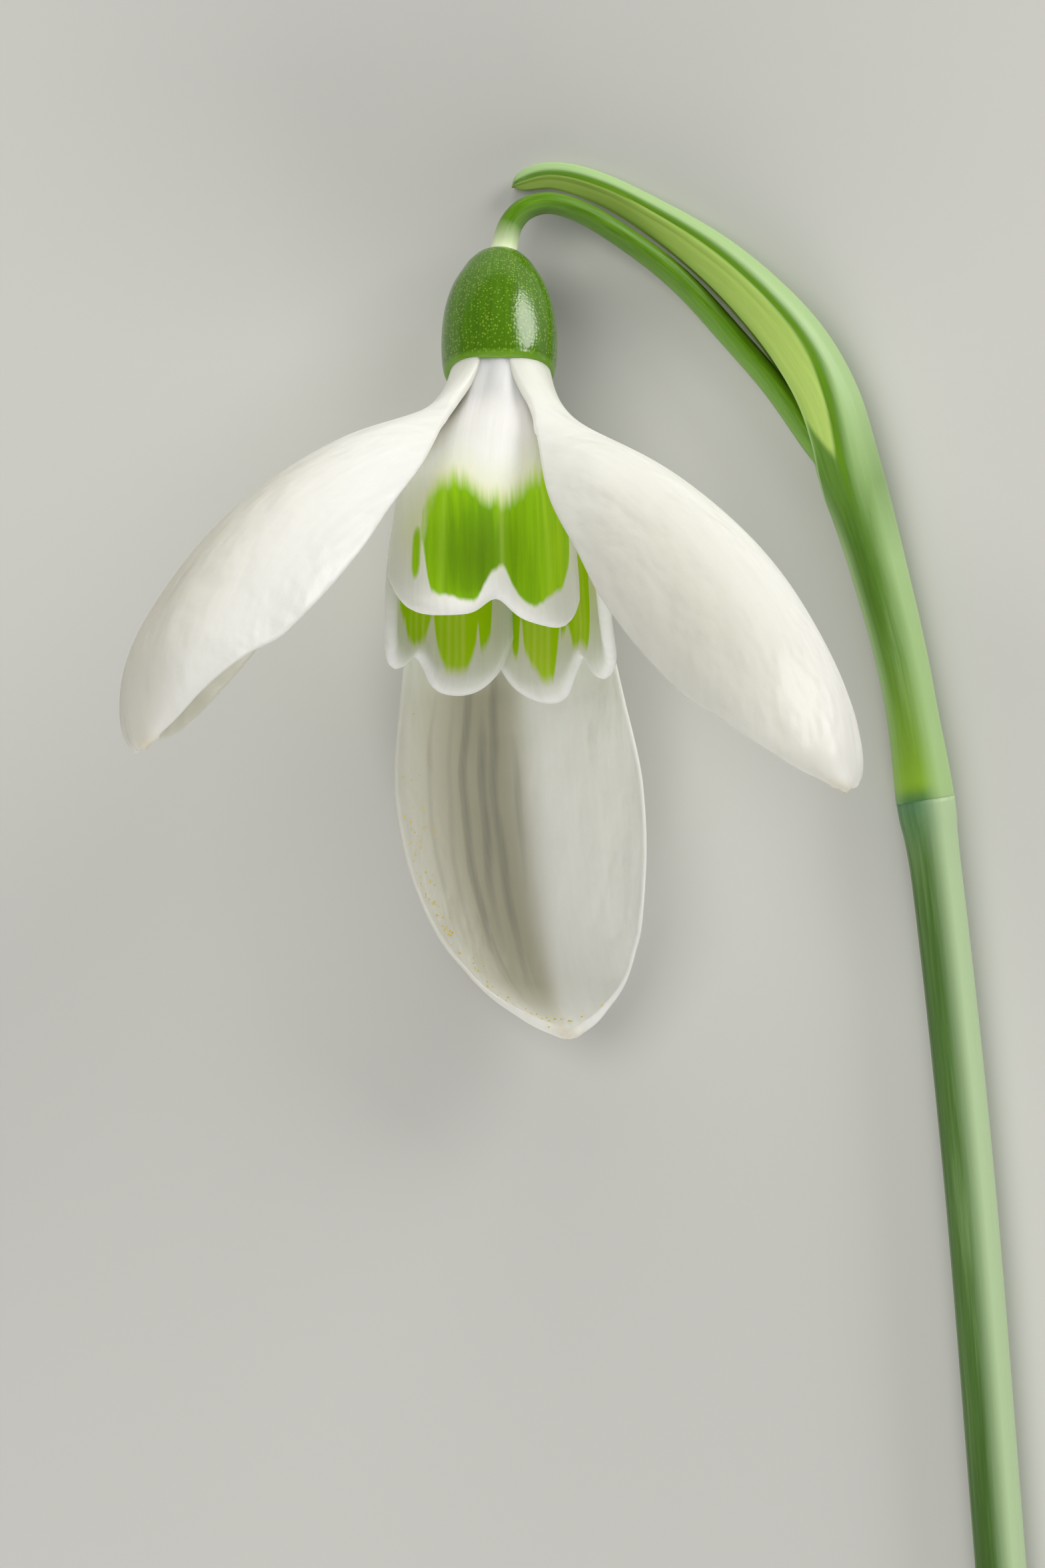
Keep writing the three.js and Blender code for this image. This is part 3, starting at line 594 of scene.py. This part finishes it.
# Painted shade greys each petal's shaded side and tip end, and darkens the back petal's folds
for kept, tint in [("shade", "#B1AE9B"), ("fold_shade", "#85837A"), ("claw", "#E9EBDD"), ("tip", "#C9B894")]:
    amount = add(tree, "ShaderNodeAttribute", attribute_name=kept).outputs["Fac"]
    colour = add(tree, "ShaderNodeMix", {0: amount, 6: colour, 7: linear(tint)}, data_type="RGBA").outputs[2]
vein_bump = petal_relief(tree, grain_in, vein_noise.outputs[0], 0.12, 0.05)
soft = add(tree, "ShaderNodeMapping", {"Vector": grain_in, "Scale": (0.7, 1, 0.35)})
soft_noise = add(tree, "ShaderNodeTexNoise", {"Vector": soft.outputs[0], "Scale": 1, "Detail": 2})
soft_bump = add(tree, "ShaderNodeBump", {
    "Height": soft_noise.outputs[0], "Strength": 0.8, "Distance": 0.35 * mm, "Normal": vein_bump.outputs[0]})
shader = add(tree, "ShaderNodeBsdfPrincipled", {
    "Base Color": colour, "Normal": soft_bump.outputs[0], "Roughness": 0.42,
    "Subsurface Weight": 0.5, "Subsurface Radius": (1.0, 0.95, 0.8), "Subsurface Scale": 1.2 * mm})
add(tree, "ShaderNodeOutputMaterial", {"Surface": shader.outputs[0]})


def spread(sits, share):
    """How far a petal's midrib leans away from the bloom's axis, in radians."""
    return np.radians(along(OUTER_SPREAD, share) + sits["lean"] + sits["hook"] * fade(share, 0.75, 0.25) ** 2)


rows, columns = 200, 150
everywhere = np.ones((rows, columns))
u = np.linspace(0, 1, rows)[:, None]
u = (0.6 * u + 0.4 * np.sin(u * math.pi / 2)) * (1 + SEATED) - SEATED
blade_share = np.clip(u, 0, 1)
s = np.linspace(-1, 1, columns)
s = 0.45 * s + 0.55 * np.sin(s * math.pi / 2)
steps = np.linspace(-SEATED, 1, 500)
for name, sits in OUTER_PETALS.items():
    size = sits["size"]
    step = (steps[1] - steps[0]) * OUTER_LENGTH * size
    lie = spread(sits, steps)
    midrib = []
    for part, start in [(np.sin(lie), CLAW_OUT), (np.cos(lie), CLAW_UP)]:
        run = np.concatenate([[0], np.cumsum((part[1:] + part[:-1]) / 2 * step)])
        midrib.append(np.interp(u, steps, run) - np.interp(0, steps, run) + start)
    out, up = midrib
    lie = spread(sits, u)
    cup = np.radians(along(OUTER_CUP, u) * sits["open"])
    half_width = along(OUTER_HALF_WIDTH, u) * size * np.where(u < 0.15, 1, sits["width"])
    half_width = half_width * (1 - 0.14 * sits["point"] * fade(u, 0.8, 0.17) ** 2)
    radius = half_width / cup
    across = radius * np.sin(s * cup) + sits["bend"] * blade_share ** 3
    across = across - 0.9 * sits["point"] * blade_share ** 9
    across = across + sits["tip_aside"] * fade(u, 0.955, 0.045) ** 2
    deep = radius * (1 - np.cos(s * cup))
    # Soft lengthwise waves of the blade, its painted shade, and the back petal's thin folds, painted darker
    # as shade
    body = fade(u, 0.12, 0.2) * fade(u, 1, -0.08)
    phase = sits["azimuth"] * 0.7
    deep = deep + body * (0.04 * np.sin(7 * s + phase + 3 * u) + 0.015 * np.sin(13 * s - phase + 5 * u))
    fold_shade = 0 * everywhere
    shade = sits["dark"] * smooth(fade(s, sits["dark_to"], -0.8))
    shade = shade * (fade(u, 0.2, 0.3) * (1 - 0.5 * fade(u, 0.75, 0.2))) + 0.16 * fade(u, 0.4, 0.55)
    if name == "back":
        deep = deep - 0.24 * hump(s, 0, 0.2) * body
        shade = smooth(fade(s, -0.16, 0.34)) * (1 - 0.5 * fade(s, 0.4, 0.5))
        shade = shade * (fade(u, 0.3, 0.15) * fade(u, 1.02, -0.12))
        for place_across, first, last, depth in FOLDS:
            reach = smooth(fade(u, first, 0.12) * fade(u, last, -0.2))
            waver = 0.012 * np.sin(14 * u + 30 * place_across) + 0.006 * np.sin(41 * u + 9 * place_across)
            groove = hump(s, place_across * (0.8 + 0.4 * u) + waver, 0.016) * reach
            deep = deep + depth * groove
            fold_shade = np.maximum(fold_shade, groove * depth / 0.13)
    turned = np.radians(sits["roll"] + sits["twist"] * blade_share ** 2)
    aside = across * np.cos(turned) - deep * np.sin(turned)
    rise = across * np.sin(turned) + deep * np.cos(turned)
    x, y, z = aside, out - rise * np.cos(lie), up + rise * np.sin(lie) - CLAW_UP
    swing = math.radians(sits["sway"])
    x, z = x * math.cos(swing) + z * math.sin(swing), z * math.cos(swing) - x * math.sin(swing) + CLAW_UP
    middle = bloom(np.stack([x, y, z], -1), sits["azimuth"])
    rim_width = np.clip(0.22 / half_width, 0, 0.5)
    rim = rounded(np.abs(s) - 1 + rim_width, 0, rim_width)
    thickness = along(OUTER_THICKNESS, u) * rim * rounded(u, 0.992, 0.008) * fade(u, -SEATED, 0.01)
    thickness = thickness * (1 - 0.55 * fade(np.abs(s), 0.5, 0.4) * body)
    middle[..., 2] = np.maximum(middle[..., 2], thickness / 2 + 0.01)
    grain = np.stack([s * half_width, sits["azimuth"] * 0.1 * everywhere, u * OUTER_LENGTH * everywhere], -1)
    petal = blade("outer_petal_" + name, middle, thickness, {
        "grain": grain, "fold_shade": fold_shade, "shade": shade, "claw": fade(u, 0.14, -0.14) * everywhere,
        "tip": 0.4 * fade(u, 0.985, 0.015) * everywhere}, petal_white)
    finish(petal, "petal_white", "outer_tepal_" + name)


# Pollen
# Fine yellow grains, fallen from the stamens, that stick to the left edge and the tip of the lowest petal's
# inner face. Real grains are about 0.03 mm; drawn as clumps of up to 0.12 mm.
def node_group(name, inputs):
    """A new group of geometry nodes, its extra inputs' sockets with their values, and its input node."""
    group = bpy.data.node_groups.new(name, "GeometryNodeTree")
    group.interface.new_socket("Geometry", in_out="INPUT", socket_type="NodeSocketGeometry")
    values = [(group.interface.new_socket(title, in_out="INPUT", socket_type=kind), value)
              for title, kind, value in inputs]
    group.interface.new_socket("Geometry", in_out="OUTPUT", socket_type="NodeSocketGeometry")
    return group, values, add(group, "NodeGroupInput")


def grown(made, group, values, placing, material):
    """The mesh that a node group makes from a piece by placing instances on points."""
    placed = add(group, "GeometryNodeInstanceOnPoints", placing)
    real = add(group, "GeometryNodeRealizeInstances", {0: placed.outputs[0]})
    finished = add(group, "GeometryNodeSetMaterial", {"Geometry": real.outputs[0], "Material": material})
    add(group, "NodeGroupOutput", {0: finished.outputs[0]})
    modifier = made.modifiers.new("grown", "NODES")
    modifier.node_group = group
    for socket, value in values:
        modifier[socket.identifier] = value
    mesh = bpy.data.meshes.new_from_object(made.evaluated_get(bpy.context.evaluated_depsgraph_get()))
    made.modifiers.remove(modifier)
    return mesh


bed = bpy.data.objects["outer_petal_back"]
beside = fade(s, 0.62, 0.15) * fade(s, 0.97, -0.04)
settled_here = beside * fade(u, 0.45, 0.3) * fade(u, 0.99, -0.02)
at_tip = fade(u, 0.955, 0.02) * fade(u, 0.992, -0.01) * everywhere
catches = np.maximum(0.45 * settled_here, at_tip)
catches = np.concatenate([np.zeros(rows * columns), catches[1:-1, 1:-1].ravel()])
bed.data.attributes.new("catches", "FLOAT", "POINT").data.foreach_set("value", catches.astype(np.float32))

pollen_yellow, tree = new_material("yellow_pollen")
# Dry, dull yellow grains.
shader = add(tree, "ShaderNodeBsdfPrincipled", {"Base Color": linear("#EAD052"), "Roughness": 0.8})
add(tree, "ShaderNodeOutputMaterial", {"Surface": shader.outputs[0]})

tree, values, given = node_group("scattered_pollen", [
    ("Grains per square metre", "NodeSocketFloat", 1.3e7), ("Largest radius", "NodeSocketFloat", 0.06 * mm)])
where = add(tree, "GeometryNodeInputNamedAttribute", {"Name": "catches"}, data_type="FLOAT")
density = add(tree, "ShaderNodeMath", {0: where.outputs[0], 1: given.outputs["Grains per square metre"]},
              operation="MULTIPLY")
spots = add(tree, "GeometryNodeDistributePointsOnFaces", {
    "Mesh": given.outputs["Geometry"], "Density": density.outputs[0], "Seed": 7})
grain = add(tree, "GeometryNodeMeshIcoSphere", {"Radius": given.outputs["Largest radius"], "Subdivisions": 1})
share_of_size = add(tree, "FunctionNodeRandomValue", {"Seed": 3}, data_type="FLOAT")
share_of_size.inputs[2].default_value = 0.35
share_of_size.inputs[3].default_value = 1
pollen_mesh = grown(bed, tree, values, {
    "Points": spots.outputs["Points"], "Instance": grain.outputs[0], "Scale": share_of_size.outputs[1],
}, pollen_yellow)
bed.data.attributes.remove(bed.data.attributes["catches"])
pollen = bpy.data.objects.new("pollen_grains", pollen_mesh)
collection.objects.link(pollen)
finish(pollen, "anther_orange")


# Inner petals
# Three short white petals form a bell. Each has two rounded lobes with a notch between them, a thick
# white rim, and a yellow-green mark: solid on the outer face, broken into stripes on the inner face.
INNER_OUT = [(0, 2.0), (0.12, 2.0), (0.3, 2.85), (0.5, 4.0), (0.75, 4.5), (0.92, 4.55), (1, 4.85)]
INNER_HALF_WIDTH = [(-0.05, 1.1), (0, 1.2), (0.1, 1.75), (0.3, 3.15), (0.5, 4.0), (0.75, 4.5), (1, 4.6)]
# How each petal sits and differs. left and right: its two edges' distance from the bell's surface, in mm.
# dent, notch and gap: depth, place and width of the notch between its lobes
INNER_PETALS = {
    "front": dict(azimuth=1.7, long=14.18, left=0.17, right=0.28, aside=-1.27, turn=11.7, wide=1.045,
                  dent=0.066, notch=0.02, gap=0.16, corner=0.2),
    "back_left": dict(azimuth=-128.8, long=13.7, left=-0.56, right=0.04, aside=0.26, turn=-5.2, wide=1.0,
                      dent=0.087, notch=0.115, gap=0.2, corner=0.21),
    "back_right": dict(azimuth=127, long=13.94, left=-0.23, right=0.455, aside=-0.49, turn=3.3, wide=1.02,
                       dent=0.116, notch=0.066, gap=0.17, corner=0.25),
}
# Marks: how far along the petal the green ends, at places across it
MARK_END = {
    "front": [
        (-0.66, 0.5), (-0.655, 0.66), (-0.62, 0.74), (-0.586, 0.815), (-0.546, 0.894), (-0.494, 0.92),
        (-0.36, 0.943), (-0.284, 0.961), (-0.198, 0.968), (-0.138, 0.943), (-0.095, 0.902), (-0.06, 0.868),
        (-0.009, 0.842), (0.06, 0.828), (0.11, 0.854), (0.136, 0.883), (0.194, 0.92), (0.262, 0.948),
        (0.329, 0.956), (0.403, 0.931), (0.463, 0.904), (0.546, 0.874), (0.678, 0.824), (0.724, 0.781),
        (0.78, 0.717), (0.809, 0.635), (0.828, 0.55),
    ],
    "back_left": [
        (-0.78, 0.6), (-0.76, 0.74), (-0.7, 0.82), (-0.64, 0.855), (-0.62, 0.8), (-0.605, 0.74),
        (-0.59, 0.79), (-0.55, 0.845), (-0.5, 0.895), (-0.46, 0.918), (-0.35, 0.925), (-0.24, 0.927),
        (-0.19, 0.906), (-0.12, 0.864), (-0.09, 0.81), (-0.06, 0.74), (-0.02, 0.76), (0, 0.79),
        (0.05, 0.835), (0.12, 0.865), (0.2, 0.88), (0.27, 0.888), (0.36, 0.884), (0.42, 0.83), (0.5, 0.82),
        (0.6, 0.77), (0.65, 0.6),
    ],
    "back_right": [
        (-0.18, 0.6), (-0.13, 0.818), (-0.08, 0.869), (-0.02, 0.85), (0.08, 0.842), (0.13, 0.84),
        (0.17, 0.79), (0.21, 0.755), (0.25, 0.78), (0.28, 0.784), (0.295, 0.73), (0.31, 0.77),
        (0.34, 0.866), (0.38, 0.922), (0.45, 0.923), (0.56, 0.886), (0.63, 0.834), (0.68, 0.774),
        (0.7, 0.7), (0.715, 0.7), (0.73, 0.83), (0.76, 0.82), (0.78, 0.79), (0.8, 0.6),
    ],
}
# Where the marks' tops fade, at places across
MARK_START = [
    (-0.66, 0.64), (-0.59, 0.585), (-0.52, 0.54), (-0.4, 0.52), (-0.25, 0.535), (-0.17, 0.56),
    (-0.07, 0.59), (0.08, 0.592), (0.23, 0.56), (0.34, 0.51), (0.51, 0.46), (0.71, 0.4), (0.86, 0.45),
]
# Pale veins through each mark: place across and strength
PALE_LINES = {
    "front": [(0.055, 0.3), (-0.45, 0.15), (0.5, 0.15)],
    "back_left": [
        (-0.26, 0.8), (-0.35, 0.6), (-0.43, 0.8), (-0.16, 0.5), (0.09, 0.9), (0.2, 0.7), (0.3, 0.5),
    ],
    "back_right": [
        (0.57, 0.8), (0.5, 0.6), (0.43, 0.8), (0.02, 0.9), (0.09, 0.5), (-0.05, 0.5), (0.64, 0.5),
    ],
}

marked_white, tree = new_material("soft_white_petal_with_green_mark")
# The same tissue, with green cells in the mark, which frays into fine streaks along the veins at its top.
grain_in = add(tree, "ShaderNodeAttribute", attribute_name="grain").outputs["Vector"]
mark_in, blur_in, depth_in, pale_in, halo_in, root_in = (
    add(tree, "ShaderNodeAttribute", attribute_name=kept).outputs["Fac"]
    for kept in ("mark", "blur", "depth", "pale", "halo", "root"))
veins = add(tree, "ShaderNodeMapping", {"Vector": grain_in, "Scale": (3.4, 1, 0.14)})
vein_noise = add(tree, "ShaderNodeTexNoise", {
    "Vector": veins.outputs[0], "Scale": 1, "Detail": 3, "Roughness": 0.6})
white = add(tree, "ShaderNodeValToRGB", {"Fac": vein_noise.outputs[0]}, [(0.3, "#EFEFE6"), (0.72, "#F7F7F2")])
streak = add(tree, "ShaderNodeMapRange", {"Value": vein_noise.outputs[0], "From Min": 0.3, "From Max": 0.7,
                                          "To Min": -0.45, "To Max": 0.45})
steepness = add(tree, "ShaderNodeMath", {0: mark_in, 1: blur_in}, operation="DIVIDE")
moved = add(tree, "ShaderNodeMath", {0: steepness.outputs[0], 1: streak.outputs[0]}, operation="ADD")
inside = add(tree, "ShaderNodeMapRange", {"Value": moved.outputs[0], "From Min": -1.0, "From Max": 1.0},
             interpolation_type="SMOOTHSTEP")
green_place = add(tree, "ShaderNodeMath", {0: vein_noise.outputs[0], 1: -0.45, 2: depth_in},
                  operation="MULTIPLY_ADD")
greens = add(tree, "ShaderNodeValToRGB", {"Fac": green_place.outputs[0]},
             [(0.0, "#B2E000"), (0.8, "#588000"), (0.2, "#96C800"), (0.5, "#6E9C00")])
lined = add(tree, "ShaderNodeMix", {0: pale_in, 6: greens.outputs[0], 7: linear("#CFEA62")},
            data_type="RGBA")
warmer = add(tree, "ShaderNodeMix", {0: halo_in, 6: white.outputs[0], 7: linear("#E8EDBC")},
             data_type="RGBA")
marked = add(tree, "ShaderNodeMix", {0: inside.outputs[0], 6: warmer.outputs[2], 7: lined.outputs[2]},
             data_type="RGBA")
rough = add(tree, "ShaderNodeMapRange", {"Value": inside.outputs[0], "To Min": 0.34, "To Max": 0.62})
coloured = add(tree, "ShaderNodeMix", {0: root_in, 6: marked.outputs[2], 7: linear("#5E8C10")},
               data_type="RGBA")
vein_bump = petal_relief(tree, grain_in, vein_noise.outputs[0], 0.4, 0.08)
shader = add(tree, "ShaderNodeBsdfPrincipled", {
    "Base Color": coloured.outputs[2], "Normal": vein_bump.outputs[0], "Roughness": rough.outputs[0],
    "Specular IOR Level": 0.22, "Subsurface Weight": 0.8, "Subsurface Radius": (1.0, 0.95, 0.8),
    "Subsurface Scale": 1.7 * mm})
add(tree, "ShaderNodeOutputMaterial", {"Surface": shader.outputs[0]})

inner_seated = 0.05
rows, columns = 150, 170
u = np.linspace(0, 1, rows)[:, None]
u = (0.75 * u + 0.25 * np.sin(u * math.pi / 2)) * (1 + inner_seated) - inner_seated
s = np.linspace(-1, 1, columns)
s = 0.6 * s + 0.4 * np.sin(s * math.pi / 2)
for name, sits in INNER_PETALS.items():
    front = name == "front"
    long = sits["long"]
    to_middle = np.abs(s)
    end = 1 - sits["dent"] * hump(s, sits["notch"], sits["gap"]) - sits["corner"] * to_middle ** 5
    v = u * end
    settled = along([(0, 0), (0.05, 0), (0.5, 1)], v)
    bell = along(INNER_OUT, v)
    half_width = along(INNER_HALF_WIDTH, v) * (1 + (sits["wide"] - 1) * fade(v, 0, 0.5))
    angle = s * half_width / bell + math.radians(sits["turn"]) * settled
    shift = sits["left"] * (1 - s) / 2 + sits["right"] * (1 + s) / 2
    flutes = 0.11 * np.cos(s * math.pi * 3.0) * np.clip(1 - v / 0.55, 0, 1) * fade(v, 0, 0.08)
    out = bell + shift * settled + flutes
    aside = out * np.sin(angle) + sits["aside"] * settled
    middle = bloom(np.stack([aside, out * np.cos(angle), CLAW_UP + v * long], -1), sits["azimuth"])
    to_edge = np.minimum((end - v) * long, (1 - to_middle) * half_width)
    swell = 0.46 + 0.12 * hump(to_edge, 0.5, 0.5) * fade(v, 0.35, 0.2)
    thickness = swell * np.sqrt(1 - (1 - fade(to_edge, 0, 0.34)) ** 2)
    thickness[0] = 0
    # Distance inside the mark, in mm: from its lower edge and its fading top
    mark = (along(MARK_END[name], s)[None, :] - v) * long
    root = fade(v, 0.008, -0.02) * fade(to_middle, 0.8, -0.2)
    above_start = (v - along(MARK_START, s)[None, :] + (0 if front else 0.1)) * long
    mark = np.minimum(mark, above_start)
    blur = (0.2 if front else 0.34) + 0.7 * np.clip(1 - above_start / 2.0, 0, 1) * (s > -0.64)
    halo = 0.75 * np.clip(1 + above_start / 2.6, 0, 1) * fade(v, 0.9, -0.2) * fade(to_middle, 1, -0.3)
    depth = np.full_like(v, 0.12)
    if front:
        mark = np.minimum(mark, (s + 0.645) * half_width)
        stripe = 0.25 * (1 - ((s + 0.682) / 0.04) ** 2 - ((v - 0.765) / 0.085) ** 4)
        mark = np.maximum(mark, stripe)
        # The green is deepest in the middle of the left lobe and yellower towards both sides
        depth = 0.49 + 0.4 * hump(s, -0.2, 0.38) * hump(v, 0.78, 0.18) - 0.16 * fade(to_middle, 0.3, 0.25)
    pale = np.zeros_like(v)
    for at, strength in PALE_LINES[name]:
        pale = pale + strength * hump(s, at, 0.026)
    grain = np.stack([s * half_width, np.full_like(v, 3 + sits["azimuth"] * 0.1), v * long], -1)
    petal = blade("inner_petal_" + name, middle, thickness, {
        "grain": grain, "mark": mark, "blur": blur, "depth": depth, "halo": halo, "pale": pale,
        "root": root}, marked_white)
    finish(petal, "inner_petal_white", "inner_tepal_" + name)


# Stamens
# Six orange pollen sacs stand on short threads round the style, on the disc that closes the ovary. Each
# is two joined lobes with a groove between them, drawn out to a fine point.
ANTHER_HEIGHT = [(0, 0.3), (0.16, 1.4), (0.26, 1.9), (0.6, 4.6), (0.85, 6.7), (1, 7.9)]
ANTHER_OUT = [(0, 0.75), (0.2, 1.02), (0.45, 1.12), (0.75, 0.95), (1, 0.55)]
ANTHER_HALF = [(0, 0.17), (0.16, 0.16), (0.24, 0.36), (0.34, 0.44), (0.6, 0.42), (0.85, 0.24), (1, 0.05)]

pollen_sac, tree = new_material("orange_pollen_sac")
# Dry papery wall, grainy with orange pollen; the thread below it is white-green and smooth.
place_in = add(tree, "ShaderNodeTexCoord")
grains = add(tree, "ShaderNodeTexNoise", {"Vector": place_in.outputs["Object"], "Scale": 9000, "Detail": 2})
orange = add(tree, "ShaderNodeValToRGB", {"Fac": grains.outputs[0]}, [(0.3, "#D98A1E"), (0.7, "#F0B347")])
height_in = add(tree, "ShaderNodeAttribute", attribute_name="height").outputs["Fac"]
thread = add(tree, "ShaderNodeValToRGB", {"Fac": height_in}, [(0.17, 1.0), (0.22, 0.0)])
coloured = add(tree, "ShaderNodeMix", {0: thread.outputs[0], 6: orange.outputs[0], 7: linear("#E8EDD2")},
               data_type="RGBA")
bumps = add(tree, "ShaderNodeBump", {"Height": grains.outputs[0], "Strength": 0.5, "Distance": 0.03 * mm})
shader = add(tree, "ShaderNodeBsdfPrincipled", {
    "Base Color": coloured.outputs[2], "Normal": bumps.outputs[0], "Roughness": 0.75})
add(tree, "ShaderNodeOutputMaterial", {"Surface": shader.outputs[0]})

t, shrink, turn = closed_line(56, 20)
lobes = 1 + 0.16 * np.cos(2 * turn + math.pi) * fade(t, 0.2, 0.1)
half_wide = along(ANTHER_HALF, t) * shrink * lobes
rings = np.stack([half_wide * np.cos(turn), along(ANTHER_OUT, t) + half_wide * np.sin(turn),
                  along(ANTHER_HEIGHT, t) * np.ones(len(turn))], -1)
one_stamen = tube("one_stamen", rings, {"height": t * np.ones(len(turn))}, pollen_sac)

tree, values, given = node_group("ring_of_stamens", [
    ("Count", "NodeSocketInt", 6), ("First turn", "NodeSocketFloat", math.pi / 6)])
spots = add(tree, "GeometryNodePoints", {"Count": given.outputs["Count"]})
index = add(tree, "GeometryNodeInputIndex")
step = add(tree, "ShaderNodeMath", {0: 2 * math.pi, 1: given.outputs["Count"]}, operation="DIVIDE")
turn_by = add(tree, "ShaderNodeMath", {
    0: index.outputs[0], 1: step.outputs[0], 2: given.outputs["First turn"]}, operation="MULTIPLY_ADD")
turned = add(tree, "ShaderNodeCombineXYZ", {"Z": turn_by.outputs[0]})
stamens_mesh = grown(one_stamen, tree, values, {
    "Points": spots.outputs[0], "Instance": given.outputs["Geometry"], "Rotation": turned.outputs[0],
}, pollen_sac)
bpy.data.objects.remove(one_stamen)
at = np.zeros(len(stamens_mesh.vertices) * 3)
stamens_mesh.vertices.foreach_get("co", at)
stamens_mesh.vertices.foreach_set("co", (bloom(at.reshape(-1, 3) / mm) * mm).ravel())
stamens_mesh.update()
stamens = bpy.data.objects.new("stamens_ring", stamens_mesh)
collection.objects.link(stamens)
finish(stamens, "anther_orange", "stamens")


# Style
# One thin white-green thread in the middle of the stamens, slightly swollen below its tip. It reaches
# past the pollen sacs, but not out of the bell of the inner petals.
STYLE_RADIUS = [(0, 0.24), (0.3, 0.2), (0.85, 0.2), (0.94, 0.28), (0.98, 0.22), (1, 0.1)]
style_skin, tree = new_material("style_tissue")
# Soft, wet-looking pale tissue, greener towards the foot.
grain_in = add(tree, "ShaderNodeAttribute", attribute_name="grain").outputs["Vector"]
fine_lines = add(tree, "ShaderNodeTexNoise", {"Vector": grain_in, "Scale": 3, "Detail": 2})
skin = add(tree, "ShaderNodeValToRGB", {"Fac": fine_lines.outputs[0]}, [(0.3, "#D3DFAE"), (0.7, "#EDF2DA")])
shader = add(tree, "ShaderNodeBsdfPrincipled", {"Base Color": skin.outputs[0], "Roughness": 0.35,
                                                "Subsurface Weight": 0.2, "Subsurface Scale": 0.3 * mm})
add(tree, "ShaderNodeOutputMaterial", {"Surface": shader.outputs[0]})
shares, shrink, turn = closed_line(60, 20)
radius = along(STYLE_RADIUS, shares) * shrink * np.ones(len(turn))
up = (-0.1 + 10.3 * shares) * np.ones(len(turn))
rings = np.stack([radius * np.cos(turn), radius * np.sin(turn), up], -1)
style = tube("style_thread", bloom(rings), {"grain": rings}, style_skin)
finish(style, "style_green", "style")
